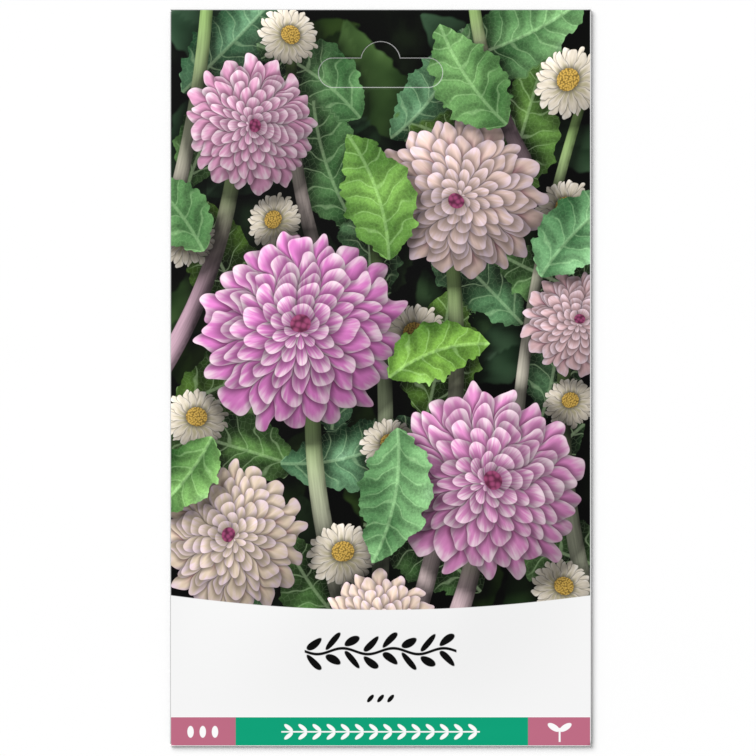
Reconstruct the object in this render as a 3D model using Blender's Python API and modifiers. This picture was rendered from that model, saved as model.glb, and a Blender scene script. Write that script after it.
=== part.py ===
"""A paper seed packet, glued shut and lying on its back.

One printed sheet is folded round a charge of loose seed. The front panel carries all the
folds: the back panel hangs on its left side, a narrow seam flap on its right, and an end
flap at each end. The seam flap is glued inside the back panel, and the end flaps outside
it. A euro slot is die-cut through the three layers of the head, and each layer's push-out
tab is still in place.

Metres. +X is the packet's right, +Y its head (the hanging end) and +Z out of its front.
The origin is the middle of its footprint, on the surface that it lies on.
"""

import math

import bmesh
import bpy
from mathutils import Vector

MM = 0.001

# The sheet and how it is folded.
WIDTH = 100.0 * MM
HEIGHT = 175.0 * MM
PAPER = 0.15 * MM
LAYER_GAP = 0.2 * MM
SEAM_FLAP_WIDTH = 12.0 * MM
FOOT_FLAP_DEPTH = 15.0 * MM
HEAD_FLAP_DEPTH = 25.0 * MM
FLAP_TAPER = 2.5 * MM
CORNER_RELIEF = 0.4 * MM
SEAM_SETBACK = 1.0 * MM
FOLD_STEPS = 6

# Middle surface of each layer, from the back up.
Z_END_FLAP = PAPER / 2
Z_BACK = Z_END_FLAP + PAPER + LAYER_GAP
Z_SEAM_FLAP = Z_BACK + PAPER + LAYER_GAP
Z_FRONT = Z_SEAM_FLAP + PAPER + LAYER_GAP

# Bend radius of each fold, and the line where it leaves the front panel.
LEFT_BEND = (Z_FRONT - Z_BACK) / 2
RIGHT_BEND = (Z_FRONT - Z_SEAM_FLAP) / 2
END_BEND = (Z_FRONT - Z_END_FLAP) / 2
X_LEFT = -(WIDTH / 2 - LEFT_BEND - PAPER / 2)
X_RIGHT = WIDTH / 2 - RIGHT_BEND - PAPER / 2
Y_END = HEIGHT / 2 - END_BEND - PAPER / 2

# How the seed swells the front, and how the back sinks onto the surface under it.
SWELL = 1.9 * MM
SWELL_FLAT_HALF_WIDTH = 15.0 * MM
SWELL_FOOT = (-84.0 * MM, -50.0 * MM)
SWELL_HEAD = (-10.0 * MM, 58.0 * MM)
SINK = Z_BACK - Z_END_FLAP
SINK_SIDE = (33.0 * MM, 37.0 * MM)
SINK_FOOT = (-71.0 * MM, -61.0 * MM)
SINK_HEAD = (50.0 * MM, 60.0 * MM)
LONGEST_FACET = 9.0 * MM

# The euro slot: a long slot with round ends, and a dome over its middle.
SLOT_LENGTH = 29.5 * MM
SLOT_HEIGHT = 7.0 * MM
SLOT_BELOW_HEAD = 15.1 * MM
DOME_RADIUS = 4.7 * MM
DOME_SINK = 0.8 * MM
TAB_GAP = 0.25 * MM
ARC_STEPS = 10
CUTTER_REACH = 3.0 * MM

# Glue lines, which sit in the gaps between layers.
GLUE = 0.08 * MM
SEAM_GLUE = (8.0 * MM, 140.0 * MM)
FOOT_GLUE = (88.0 * MM, 8.0 * MM)
HEAD_GLUE = (84.0 * MM, 3.5 * MM)
GLUE_EDGE = 2.5 * MM
GLUE_CORNER = 1.2 * MM

# The seed: a few hundred loose grains, as the one flat heap that they lie in.
HEAP_SIZE = (58.0 * MM, 48.0 * MM, 2.0 * MM)
HEAP_CENTRE = (0.0, -30.0 * MM)
HEAP_CLEARANCE = 0.1 * MM
HEAP_SEGMENTS = 32
HEAP_RINGS = 12


def clear_scene():
    for obj in list(bpy.data.objects):
        bpy.data.objects.remove(obj)


def new_collection(name):
    collection = bpy.data.collections.new(name)
    bpy.context.scene.collection.children.link(collection)
    return collection


def new_material(name, colour, roughness):
    material = bpy.data.materials.new(name)
    material.use_nodes = True
    shader = material.node_tree.nodes["Principled BSDF"]
    shader.inputs["Base Color"].default_value = (*colour, 1.0)
    shader.inputs["Roughness"].default_value = roughness
    shader.inputs["Metallic"].default_value = 0.0
    return material


def new_object(name, bm, collection, material=None):
    mesh = bpy.data.meshes.new(name)
    bm.to_mesh(mesh)
    bm.free()
    obj = bpy.data.objects.new(name, mesh)
    collection.objects.link(obj)
    if material:
        mesh.materials.append(material)
    return obj


def smooth(value, start, end):
    """0 before start, 1 after end, with no kink at either."""
    t = min(max((value - start) / (end - start), 0.0), 1.0)
    return t * t * (3 - 2 * t)


def swell(x, y):
    """How far the front panel stands above its edges."""
    edge = min(-X_LEFT, X_RIGHT)
    across = 1 - smooth(abs(x), SWELL_FLAT_HALF_WIDTH, edge)
    along = smooth(y, *SWELL_FOOT) * (1 - smooth(y, *SWELL_HEAD))
    return SWELL * across * along


def sink(x, y):
    """How far the back panel sinks between the end flaps, down to the surface."""
    across = 1 - smooth(abs(x), *SINK_SIDE)
    along = smooth(y, *SINK_FOOT) * (1 - smooth(y, *SINK_HEAD))
    return SINK * across * along


def stations(*breaks):
    """The breaks, with each stretch between them cut into equal steps."""
    found = [breaks[0]]
    for start, end in zip(breaks, breaks[1:]):
        steps = max(1, math.ceil((end - start) / LONGEST_FACET - 1e-6))
        found += [start + (end - start) * (k + 1) / steps for k in range(steps)]
    return found


def add_front_panel(bm, xs, ys):
    """A flat grid whose lines lie at xs and ys, swollen by the seed."""
    columns, rows = len(xs) - 1, len(ys) - 1
    made = bmesh.ops.create_grid(bm, x_segments=columns, y_segments=rows, size=0.5)
    for vert in made["verts"]:
        x = xs[round((vert.co.x + 0.5) * columns)]
        y = ys[round((vert.co.y + 0.5) * rows)]
        vert.co = (x, y, Z_FRONT + swell(x, y))


def edges_on(bm, axis, at, reach):
    """The edges that lie on the line axis = at, from one end of reach to the other."""
    other, slack = 1 - axis, 1e-7
    low, high = reach
    return [
        edge
        for edge in bm.edges
        if all(
            abs(v.co[axis] - at) < slack and low - slack < v.co[other] < high + slack
            for v in edge.verts
        )
    ]


def fold(bm, edges, centre, axis):
    """Turns the sheet half a turn round a line, and returns the new free edges."""
    made = bmesh.ops.spin(
        bm, geom=edges, cent=centre, axis=axis, angle=math.pi, steps=FOLD_STEPS
    )
    return [item for item in made["geom_last"] if isinstance(item, bmesh.types.BMEdge)]


def draw_out(bm, edges, stops, place):
    """Extrudes the free edges once for each stop. place moves a vertex to its stop."""
    for stop in stops:
        made = bmesh.ops.extrude_edge_only(bm, edges=edges)["geom"]
        for vert in (item for item in made if isinstance(item, bmesh.types.BMVert)):
            place(vert, stop)
        verts = {item for item in made if isinstance(item, bmesh.types.BMVert)}
        edges = [
            item
            for item in made
            if isinstance(item, bmesh.types.BMEdge) and verts.issuperset(item.verts)
        ]


def place_on_back(vert, x):
    vert.co.x = x
    vert.co.z = Z_BACK - sink(x, vert.co.y)


def place_on_seam_flap(vert, x):
    vert.co.x = x


def end_flap_placer(start, depth):
    """A placer for an end flap, whose sides draw in towards its free edge."""
    half = X_RIGHT - CORNER_RELIEF

    def place(vert, y):
        before = half - FLAP_TAPER * abs(vert.co.y - start) / depth
        after = half - FLAP_TAPER * abs(y - start) / depth
        vert.co.x *= after / before
        vert.co.y = y

    return place


def build_sheet(parts, cutters, material):
    """The folded sheet, with the euro slot cut through all of its layers."""
    y_side = Y_END - CORNER_RELIEF
    xs = stations(
        X_LEFT,
        X_LEFT + CORNER_RELIEF,
        -SINK_SIDE[1],
        -SINK_SIDE[0],
        SINK_SIDE[0],
        SINK_SIDE[1],
        X_RIGHT - CORNER_RELIEF,
        X_RIGHT,
    )
    ys = stations(-Y_END, -y_side, *SINK_FOOT, *SINK_HEAD, y_side, Y_END)
    bm = bmesh.new()
    add_front_panel(bm, xs, ys)
    side_reach = (-y_side, y_side)
    end_reach = (X_LEFT + CORNER_RELIEF, X_RIGHT - CORNER_RELIEF)

    left = edges_on(bm, 0, X_LEFT, side_reach)
    right = edges_on(bm, 0, X_RIGHT, side_reach)
    foot = edges_on(bm, 1, -Y_END, end_reach)
    head = edges_on(bm, 1, Y_END, end_reach)

    left = fold(bm, left, (X_LEFT, 0, Z_FRONT - LEFT_BEND), (0, -1, 0))
    back_xs = [x for x in xs if X_LEFT < x < X_RIGHT - CORNER_RELIEF]
    draw_out(bm, left, [*back_xs, WIDTH / 2 - SEAM_SETBACK], place_on_back)

    right = fold(bm, right, (X_RIGHT, 0, Z_FRONT - RIGHT_BEND), (0, 1, 0))
    seam_xs = stations(X_RIGHT - SEAM_FLAP_WIDTH, X_RIGHT)[-2::-1]
    draw_out(bm, right, seam_xs, place_on_seam_flap)

    foot = fold(bm, foot, (0, -Y_END, Z_FRONT - END_BEND), (1, 0, 0))
    foot_ys = stations(-Y_END, -HEIGHT / 2 + FOOT_FLAP_DEPTH)[1:]
    draw_out(bm, foot, foot_ys, end_flap_placer(-Y_END, FOOT_FLAP_DEPTH))

    head = fold(bm, head, (0, Y_END, Z_FRONT - END_BEND), (-1, 0, 0))
    head_ys = stations(HEIGHT / 2 - HEAD_FLAP_DEPTH, Y_END)[-2::-1]
    draw_out(bm, head, head_ys, end_flap_placer(Y_END, HEAD_FLAP_DEPTH))

    bmesh.ops.recalc_face_normals(bm, faces=bm.faces)
    sheet = new_object("envelope_sheet", bm, parts, material)
    thickness = sheet.modifiers.new("paper", "SOLIDIFY")
    thickness.thickness = PAPER
    thickness.offset = 0.0
    thickness.use_even_offset = True
    cutter = build_slot_block("euro_slot_cutter", cutters, 0.0, -CUTTER_REACH, CUTTER_REACH)
    cutter.display_type = "WIRE"
    cutter.hide_render = True
    cut = sheet.modifiers.new("euro_slot", "BOOLEAN")
    cut.operation = "DIFFERENCE"
    cut.object = cutter


def arc(centre, radius, start, end):
    """Points round centre from one angle to the other, in degrees."""
    steps = [start + (end - start) * k / ARC_STEPS for k in range(ARC_STEPS + 1)]
    return [
        centre + radius * Vector((math.cos(math.radians(a)), math.sin(math.radians(a))))
        for a in steps
    ]


def slot_outline(inset):
    """The euro slot's outline, counterclockwise, drawn in by inset all round."""
    middle = Vector((0.0, HEIGHT / 2 - SLOT_BELOW_HEAD))
    radius = SLOT_HEIGHT / 2
    end = Vector(((SLOT_LENGTH - SLOT_HEIGHT) / 2, 0.0))
    dome = middle + Vector((0.0, radius - DOME_SINK))
    dome_radius = DOME_RADIUS - inset
    dip = math.degrees(math.asin((DOME_SINK - inset) / dome_radius))
    return [
        *arc(middle + end, radius - inset, -90, 90),
        *arc(dome, dome_radius, dip, 180 - dip),
        *arc(middle - end, radius - inset, 90, 270),
    ]


def build_slot_block(name, collection, inset, bottom, top, material=None):
    """The euro slot's outline as a solid from bottom to top."""
    bm = bmesh.new()
    verts = [bm.verts.new((p.x, p.y, bottom)) for p in slot_outline(inset)]
    face = bm.faces.new(verts)
    made = bmesh.ops.extrude_face_region(bm, geom=[face])["geom"]
    for vert in (item for item in made if isinstance(item, bmesh.types.BMVert)):
        vert.co.z = top
    bmesh.ops.recalc_face_normals(bm, faces=bm.faces)
    return new_object(name, bm, collection, material)


def build_tabs(parts, material):
    """The die-cut tab that still fills the slot in each of the three layers."""
    layers = {"front_hang_tab": Z_FRONT, "back_hang_tab": Z_BACK, "flap_hang_tab": Z_END_FLAP}
    for name, z in layers.items():
        build_slot_block(name, parts, TAB_GAP, z - PAPER / 2, z + PAPER / 2, material)


def build_glue_line(name, parts, size, place, material):
    """A flat strip of dried glue with rounded corners, at place."""
    bm = bmesh.new()
    bmesh.ops.create_cube(bm, size=1.0)
    bmesh.ops.scale(bm, vec=(*size, GLUE), verts=bm.verts)
    upright = [e for e in bm.edges if abs(e.verts[0].co.z - e.verts[1].co.z) > GLUE / 2]
    bmesh.ops.bevel(
        bm,
        geom=upright,
        offset=GLUE_CORNER,
        segments=3,
        profile=0.5,
        affect="EDGES",
        material=-1,
    )
    strip = new_object(name, bm, parts, material)
    strip.location = place


def build_glue(parts, material):
    """The three glue lines that hold the sheet shut."""
    seam_z = (Z_BACK + Z_SEAM_FLAP) / 2
    end_z = (Z_END_FLAP + Z_BACK) / 2
    seam_x = X_RIGHT - SEAM_FLAP_WIDTH + GLUE_EDGE + SEAM_GLUE[0] / 2
    foot_y = -HEIGHT / 2 + FOOT_FLAP_DEPTH - GLUE_EDGE - FOOT_GLUE[1] / 2
    head_y = HEIGHT / 2 - HEAD_FLAP_DEPTH + GLUE_EDGE / 2 + HEAD_GLUE[1] / 2
    build_glue_line("seam_glue", parts, SEAM_GLUE, (seam_x, 0, seam_z), material)
    build_glue_line("foot_flap_glue", parts, FOOT_GLUE, (0, foot_y, end_z), material)
    build_glue_line("head_flap_glue", parts, HEAD_GLUE, (0, head_y, end_z), material)


def build_seed_charge(parts, material):
    """The heap of loose seed on the back panel, as one low lens."""
    bm = bmesh.new()
    bmesh.ops.create_uvsphere(bm, u_segments=HEAP_SEGMENTS, v_segments=HEAP_RINGS, radius=0.5)
    bmesh.ops.scale(bm, vec=HEAP_SIZE, verts=bm.verts)
    heap = new_object("seed_charge", bm, parts, material)
    heap.data.shade_smooth()
    z = Z_END_FLAP + PAPER / 2 + HEAP_CLEARANCE + HEAP_SIZE[2] / 2
    heap.location = (*HEAP_CENTRE, z)


def main():
    clear_scene()
    parts = new_collection("seed_packet")
    cutters = new_collection("cutters")
    paper = new_material("printed_paper", (0.90, 0.90, 0.89), 0.45)
    tab_paper = new_material("tab_paper", (0.30, 0.48, 0.26), 0.45)
    glue = new_material("dried_glue", (0.86, 0.80, 0.62), 0.35)
    seed_coat = new_material("seed_coat", (0.10, 0.055, 0.045), 0.6)
    build_sheet(parts, cutters, paper)
    build_tabs(parts, tab_paper)
    build_glue(parts, glue)
    build_seed_charge(parts, seed_coat)


main()
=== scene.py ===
"""The looks of a paper seed packet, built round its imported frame.

The packet is one coated sheet, folded round loose seed, glued shut and lying on its back.
Its front carries a printed picture of dahlias among leaves over a light panel, with a
coloured band at the foot. The picture is drawn from motifs, each with a distance to its
own edge, so that its edges stay sharp on a mesh much coarser than the print.

Meshes are in metres. The print is laid out in millimetres from the packet's middle.
"""

import logging
import math
from dataclasses import dataclass, field
from enum import Enum, IntEnum
from typing import Callable, Dict, List, Optional, Sequence, Set, Tuple, Union

import bmesh
import bpy
import numpy as np
from mathutils import Euler, Matrix, Vector

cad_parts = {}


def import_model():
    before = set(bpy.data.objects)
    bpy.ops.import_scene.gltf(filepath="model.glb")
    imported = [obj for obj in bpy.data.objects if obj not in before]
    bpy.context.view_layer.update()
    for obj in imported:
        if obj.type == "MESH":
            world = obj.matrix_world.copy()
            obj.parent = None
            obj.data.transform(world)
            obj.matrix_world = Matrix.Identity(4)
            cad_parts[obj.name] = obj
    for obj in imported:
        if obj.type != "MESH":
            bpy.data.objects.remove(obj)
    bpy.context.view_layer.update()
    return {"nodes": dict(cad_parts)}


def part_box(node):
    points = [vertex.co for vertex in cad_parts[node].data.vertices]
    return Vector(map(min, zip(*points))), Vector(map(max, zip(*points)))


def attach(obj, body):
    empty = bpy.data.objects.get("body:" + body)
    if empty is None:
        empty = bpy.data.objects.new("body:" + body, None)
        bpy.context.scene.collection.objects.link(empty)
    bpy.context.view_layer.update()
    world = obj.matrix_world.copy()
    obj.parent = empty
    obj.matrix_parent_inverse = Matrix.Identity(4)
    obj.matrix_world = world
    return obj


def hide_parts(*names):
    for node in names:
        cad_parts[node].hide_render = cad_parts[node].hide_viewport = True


MM = 0.001
BODY = "root"
LOG = logging.getLogger("seed_packet")

Array = np.ndarray
Rgb = Tuple[float, float, float]
Point = Tuple[float, float]
Span = Tuple[float, float]
Socket = bpy.types.NodeSocket
Material = bpy.types.Material
Mesh = bpy.types.Mesh
Object = bpy.types.Object
BMesh = bmesh.types.BMesh
BMVert = bmesh.types.BMVert
BMEdge = bmesh.types.BMEdge

BLACK: Rgb = (0.0, 0.0, 0.0)


def linear(red: int, green: int, blue: int) -> Rgb:
    """The linear parts of a display colour, which is given from 0 to 255."""
    parts = (part / 255 for part in (red, green, blue))
    return tuple(p / 12.92 if p < 0.04045 else ((p + 0.055) / 1.055) ** 2.4 for p in parts)


def smooth(value: Union[Array, float], start: float, end: float) -> Union[Array, float]:
    """A smooth step from 0 at start to 1 at end."""
    t = np.clip((value - start) / (end - start), 0.0, 1.0)
    return t * t * (3 - 2 * t)


def blend(first: Array, second: Array, share: Array) -> Array:
    """Mixes two colours, or rows of colours, by a share for each point."""
    share = np.asarray(share)[..., None]
    return np.asarray(first) * (1 - share) + np.asarray(second) * share


def unit(ways: Array) -> Array:
    """Rows of vectors, each made one long."""
    return ways / np.maximum(np.hypot(*ways.T), 1e-6)[:, None]


# --------------------------------------------------------------------------- shader maths


class Number:
    """A shader socket that carries a number, with Python's operators."""

    def __init__(self, graph: "Graph", socket: Socket) -> None:
        """Wraps a socket of a graph."""
        self.graph = graph
        self.socket = socket

    def __add__(self, other: "Operand") -> "Number":
        """self + other."""
        return self.graph.maths("ADD", self, other)

    def __radd__(self, other: "Operand") -> "Number":
        """other + self."""
        return self.graph.maths("ADD", other, self)

    def __sub__(self, other: "Operand") -> "Number":
        """self - other."""
        return self.graph.maths("SUBTRACT", self, other)

    def __rsub__(self, other: "Operand") -> "Number":
        """other - self."""
        return self.graph.maths("SUBTRACT", other, self)

    def __mul__(self, other: "Operand") -> "Number":
        """self * other."""
        return self.graph.maths("MULTIPLY", self, other)

    def __rmul__(self, other: "Operand") -> "Number":
        """other * self."""
        return self.graph.maths("MULTIPLY", other, self)

    def __truediv__(self, other: "Operand") -> "Number":
        """self / other."""
        return self.graph.maths("DIVIDE", self, other)

    def __mod__(self, other: "Operand") -> "Number":
        """self modulo other, never negative."""
        return self.graph.maths("FLOORED_MODULO", self, other)

    def __abs__(self) -> "Number":
        """The size of self, without its sign."""
        return self.graph.maths("ABSOLUTE", self)


Operand = Union[Number, float]
Link = Union[Number, Socket]
Colour = Union[Number, Socket, Rgb]
Place = Tuple[Number, Number, Number]

# Half of the width over which a printed edge fades.
SOFT = 0.05


class Graph:
    """The nodes of one material, round its Principled shader."""

    def __init__(self, name: str) -> None:
        """Starts a material with a Principled shader and nothing linked to it.

        Args:
            name: The material's name.
        """
        self.material = bpy.data.materials.new(name)
        self.material.use_nodes = True
        self.tree = self.material.node_tree
        self.shader = self.tree.nodes["Principled BSDF"]

    def node(
        self, kind: str, settings: Optional[dict] = None, inputs: Optional[dict] = None
    ) -> bpy.types.ShaderNode:
        """Adds a node.

        Args:
            kind: The node's type, as Blender names it.
            settings: Its properties, which are set first.
            inputs: Its sockets' values or links, by name or number.

        Returns:
            The node.
        """
        made = self.tree.nodes.new(kind)
        for name, value in (settings or {}).items():
            setattr(made, name, value)
        for key, value in (inputs or {}).items():
            self.feed(made.inputs[key], value)
        return made

    def feed(self, socket: Socket, value: Union[Colour, float]) -> None:
        """Gives a socket a value, or links another socket to it.

        Args:
            socket: The socket.
            value: A number, a vector, a colour without its alpha, or what to link.
        """
        if isinstance(value, Number):
            value = value.socket
        if isinstance(value, Socket):
            self.tree.links.new(value, socket)
        elif isinstance(value, tuple) and socket.type == "RGBA" and len(value) == 3:
            socket.default_value = (*value, 1.0)
        else:
            socket.default_value = value

    def maths(self, operation: str, *operands: Operand) -> Number:
        """Adds a Math node and returns its result."""
        made = self.node("ShaderNodeMath", {"operation": operation}, dict(enumerate(operands)))
        return Number(self, made.outputs[0])

    def chain(self, operation: str, *operands: Operand) -> Number:
        """Joins several numbers by one operation, two at a time.

        Args:
            operation: The Math node's operation.
            operands: The numbers, the first of them a socket.

        Returns:
            The result.
        """
        result = operands[0]
        for operand in operands[1:]:
            result = self.maths(operation, result, operand)
        return result

    def least(self, *operands: Operand) -> Number:
        """The least of several numbers."""
        return self.chain("MINIMUM", *operands)

    def most(self, *operands: Operand) -> Number:
        """The greatest of several numbers."""
        return self.chain("MAXIMUM", *operands)

    def step(self, value: Operand, start: float, end: float) -> Number:
        """A smooth step, up or down.

        Args:
            value: The number that it follows.
            start: Where the step is 0.
            end: Where it is 1, which may be less than start.

        Returns:
            The step.
        """
        falls = float(end < start)
        low, high = sorted((start, end))
        made = self.node(
            "ShaderNodeMapRange",
            {"interpolation_type": "SMOOTHSTEP"},
            {"Value": value, "From Min": low, "From Max": high, "To Min": falls, "To Max": 1 - falls},
        )
        return Number(self, made.outputs["Result"])

    def below(self, value: Operand, limit: float, soft: float = SOFT) -> Number:
        """A mask of where value is below limit, which fades over soft on each side of it."""
        return self.step(value, limit + soft, limit - soft)

    def mix(self, share: Operand, first: Colour, second: Colour) -> Socket:
        """Mixes two colours: the first where share is 0, the second where it is 1."""
        made = self.node("ShaderNodeMix", {"data_type": "RGBA"}, {0: share, 6: first, 7: second})
        return made.outputs[2]

    def shade(self, colour: Colour, factor: Operand) -> Socket:
        """A colour with each of its parts multiplied by a number."""
        settings = {"data_type": "RGBA", "clamp_factor": False}
        return self.node("ShaderNodeMix", settings, {0: factor, 6: BLACK, 7: colour}).outputs[2]

    def filter(self, first: Colour, second: Colour) -> Socket:
        """Multiplies two colours."""
        settings = {"data_type": "RGBA", "blend_type": "MULTIPLY"}
        return self.node("ShaderNodeMix", settings, {0: 1.0, 6: first, 7: second}).outputs[2]

    def chance(self, seed: Number) -> Number:
        """A number from 0 to 1 that differs without pattern from one whole seed to the next."""
        return (self.maths("SINE", seed * 1.618) * 437.58) % 1.0

    def split(self, vector: Link) -> Place:
        """The three parts of a vector."""
        made = self.node("ShaderNodeSeparateXYZ", None, {0: vector})
        return tuple(Number(self, out) for out in made.outputs)

    def join(self, x: Operand, y: Operand, z: Operand = 0.0) -> Socket:
        """A vector from three numbers."""
        return self.node("ShaderNodeCombineXYZ", None, {0: x, 1: y, 2: z}).outputs[0]

    def ellipse(self, x: Number, y: Number, half: Point, turn: float) -> Number:
        """A mask of an ellipse round the origin.

        Args:
            x: The place across.
            y: The place up.
            half: Half of its length and of its breadth.
            turn: How far its length is turned from the x axis, in degrees.

        Returns:
            The mask.
        """
        c, s = math.cos(math.radians(turn)), math.sin(math.radians(turn))
        u, v = (x * c + y * s) / half[0], (y * c - x * s) / half[1]
        return self.below(u * u + v * v, 1.0, 0.15)

    def block(self, x: Number, y: Number, half: Point) -> Number:
        """A mask of a rectangle round the origin."""
        return self.below(self.most(abs(x) - half[0], abs(y) - half[1]), 0.0)

    def place(self) -> Place:
        """The point on the object.

        Returns:
            Its three parts, in millimetres.
        """
        where = self.node("ShaderNodeTexCoord").outputs["Object"]
        inputs = {0: where, "Scale": 1 / MM}
        return self.split(self.node("ShaderNodeVectorMath", {"operation": "SCALE"}, inputs).outputs[0])

    def attribute(self, name: str, output: str = "Color") -> Socket:
        """An attribute of the mesh."""
        return self.node("ShaderNodeAttribute", {"attribute_name": name}).outputs[output]

    def noise(
        self, where: Link, scale: float, detail: float = 2.0, rough: float = 0.5, flat: bool = True
    ) -> Number:
        """Soft noise, mostly from 0.3 to 0.7.

        Args:
            where: The place.
            scale: How fine it is.
            detail: How many finer layers it has.
            rough: How strong each finer layer is, as a part of the one before.
            flat: Whether it ignores z.

        Returns:
            The noise.
        """
        inputs = {"Vector": where, "Scale": scale, "Detail": detail, "Roughness": rough}
        settings = {"noise_dimensions": "2D" if flat else "3D"}
        return Number(self, self.node("ShaderNodeTexNoise", settings, inputs).outputs[0])

    def cells(self, where: Link, scale: float, feature: str = "F1") -> Number:
        """Distances in a pattern of flat cells.

        Args:
            where: The place.
            scale: How fine the cells are.
            feature: F1 for the distance to a cell's middle, DISTANCE_TO_EDGE for that to its edge.

        Returns:
            The distance.
        """
        settings = {"feature": feature, "voronoi_dimensions": "2D"}
        made = self.node("ShaderNodeTexVoronoi", settings, {"Vector": where, "Scale": scale})
        return Number(self, made.outputs["Distance"])

    def finish(
        self, colour: Colour, roughness: Operand, relief: Optional[Number] = None, depth: float = 0.0
    ) -> Material:
        """Feeds the shader's colour, roughness and relief.

        Args:
            colour: The colour's socket or value.
            roughness: The roughness, as a number or a socket.
            relief: A height from 0 to 1, if the surface has any.
            depth: What a relief of 1 stands for, in metres.

        Returns:
            The material.
        """
        self.feed(self.shader.inputs["Base Color"], colour)
        self.feed(self.shader.inputs["Roughness"], roughness)
        if relief is not None:
            bump = self.node("ShaderNodeBump", None, {"Strength": 1.0, "Distance": depth, "Height": relief})
            self.feed(self.shader.inputs["Normal"], bump.outputs[0])
        return self.material


# ------------------------------------------------------------------- motifs of the picture


# The way to the light that the picture is drawn in.
LIGHT = np.array((-0.42, 0.52, 0.74))

# How far off a motif counts as being where none is near, in millimetres.
FAR = 30.0


def lit(ways: Array, lean: Array) -> Array:
    """The light on a rounded thing, from 0 to 1, where its surface leans over by lean."""
    return np.clip(ways @ LIGHT[:2] * lean + np.sqrt(1 - lean**2) * LIGHT[2], 0, 1)


class Mottle:
    """Smooth seeded noise over the plane, from 0 to 1."""

    CELLS = 61
    OCTAVES = 3
    SHIFT = 17.0

    def __init__(self, seed: int) -> None:
        """Draws the lattice."""
        self.lattice = np.random.default_rng(seed).random((self.CELLS, self.CELLS))

    def at(self, points: Array, size: float) -> Array:
        """Looks the noise up.

        Args:
            points: The points.
            size: About how large its patches are.

        Returns:
            The noise at the points.
        """
        total = np.zeros(len(points))
        for octave in range(self.OCTAVES):
            grid = points * (2**octave / size) + self.SHIFT * octave
            cell = np.floor(grid).astype(int)
            t = grid - cell
            t = t * t * (3 - 2 * t)
            (x0, y0), (x1, y1) = (cell % self.CELLS).T, ((cell + 1) % self.CELLS).T
            low = self.lattice[x0, y0] * (1 - t[:, 0]) + self.lattice[x1, y0] * t[:, 0]
            high = self.lattice[x0, y1] * (1 - t[:, 0]) + self.lattice[x1, y1] * t[:, 0]
            total += (low * (1 - t[:, 1]) + high * t[:, 1]) * 0.5**octave
        return total / (2 - 0.5 ** (self.OCTAVES - 1))


@dataclass
class Touch:
    """What a motif leaves at each point of the print."""

    edge: Array  # Distance outside the motif's edge, negative inside.
    colour: Array
    across: Array
    along: Array
    amount: Array

    @classmethod
    def blank(cls, count: int) -> "Touch":
        """A touch that leaves nothing."""
        none = np.zeros(count)
        return cls(np.full(count, FAR), np.zeros((count, 3)), none, none.copy(), none.copy())

    def take(self, other: "Touch", where: Array) -> None:
        """Takes over another touch where it lies nearer.

        Args:
            other: The other touch.
            where: Which of the points it is at.
        """
        nearer = other.edge < self.edge[where]
        index = np.flatnonzero(where)[nearer]
        for name in ("edge", "colour", "across", "along", "amount"):
            getattr(self, name)[index] = getattr(other, name)[nearer]


@dataclass(frozen=True)
class Strip:
    """A curved strip on a bowed centre line: the base of a stem and of a leaf."""

    start: Point
    end: Point
    bow: float
    half_width: float
    tint: float = 0.5
    seed: int = 0

    STEPS = 18
    REACH = 9.0

    def line(self) -> Array:
        """Bends the centre line.

        Returns:
            Points along it.
        """
        first, last = np.array(self.start), np.array(self.end)
        run = last - first
        middle = (first + last) / 2 + self.bow * np.array((-run[1], run[0]))
        t = np.linspace(0, 1, self.STEPS + 1)[:, None]
        return (1 - t) ** 2 * first + 2 * t * (1 - t) * middle + t * t * last

    def near(self, points: Array) -> Array:
        """Finds the points that are close enough for the strip to matter.

        Args:
            points: The points.

        Returns:
            A mask of them.
        """
        line = self.line()
        room = self.half_width + self.REACH
        inside = (points > line.min(0) - room) & (points < line.max(0) + room)
        return inside.all(1)

    def measure(self, points: Array) -> Tuple[Array, Array, Array]:
        """Measures points against the centre line.

        Args:
            points: The points.

        Returns:
            Their offset from the centre line, their signed distance across it, and how far
            along it they lie, from 0 to 1.
        """
        line = self.line()
        best = np.full(len(points), np.inf)
        offset = np.zeros((len(points), 2))
        across, along = np.zeros(len(points)), np.zeros(len(points))
        for k, (a, b) in enumerate(zip(line, line[1:])):
            chord = b - a
            gap = points - a
            reach = np.clip(gap @ chord / (chord @ chord), 0, 1)
            side = np.sign(chord[0] * gap[:, 1] - chord[1] * gap[:, 0])
            gap = gap - reach[:, None] * chord
            far = np.hypot(*gap.T)
            closer = far < best
            best[closer] = far[closer]
            offset[closer] = gap[closer]
            across[closer] = (far * side)[closer]
            along[closer] = (k + reach[closer]) / self.STEPS
        return offset, across, along

    def length(self) -> float:
        """The length of the centre line."""
        return float(np.hypot(*np.diff(self.line(), axis=0).T).sum())


@dataclass(frozen=True)
class Stem(Strip):
    """A round flower stalk: pale or blushed, and green towards its head."""

    PALE = linear(222, 230, 196)
    BLUSH = linear(222, 178, 202)
    GREEN = linear(158, 194, 116)

    def touch(self, points: Array) -> Touch:
        """Draws the stalk.

        Args:
            points: The points.

        Returns:
            What it leaves at them.
        """
        offset, across, along = self.measure(points)
        width = self.half_width * (1.15 - 0.3 * along)
        swell = np.clip(np.abs(across) / width, 0, 0.98)
        tone = blend(self.PALE, self.BLUSH, np.full(len(points), self.tint))
        tone = blend(tone, self.GREEN, smooth(along, 0.3, 1.0))
        colour = tone * (0.22 + 0.95 * lit(unit(offset), swell))[:, None]
        return Touch(np.abs(across) - width, colour, across, along * self.length(), swell)


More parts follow.
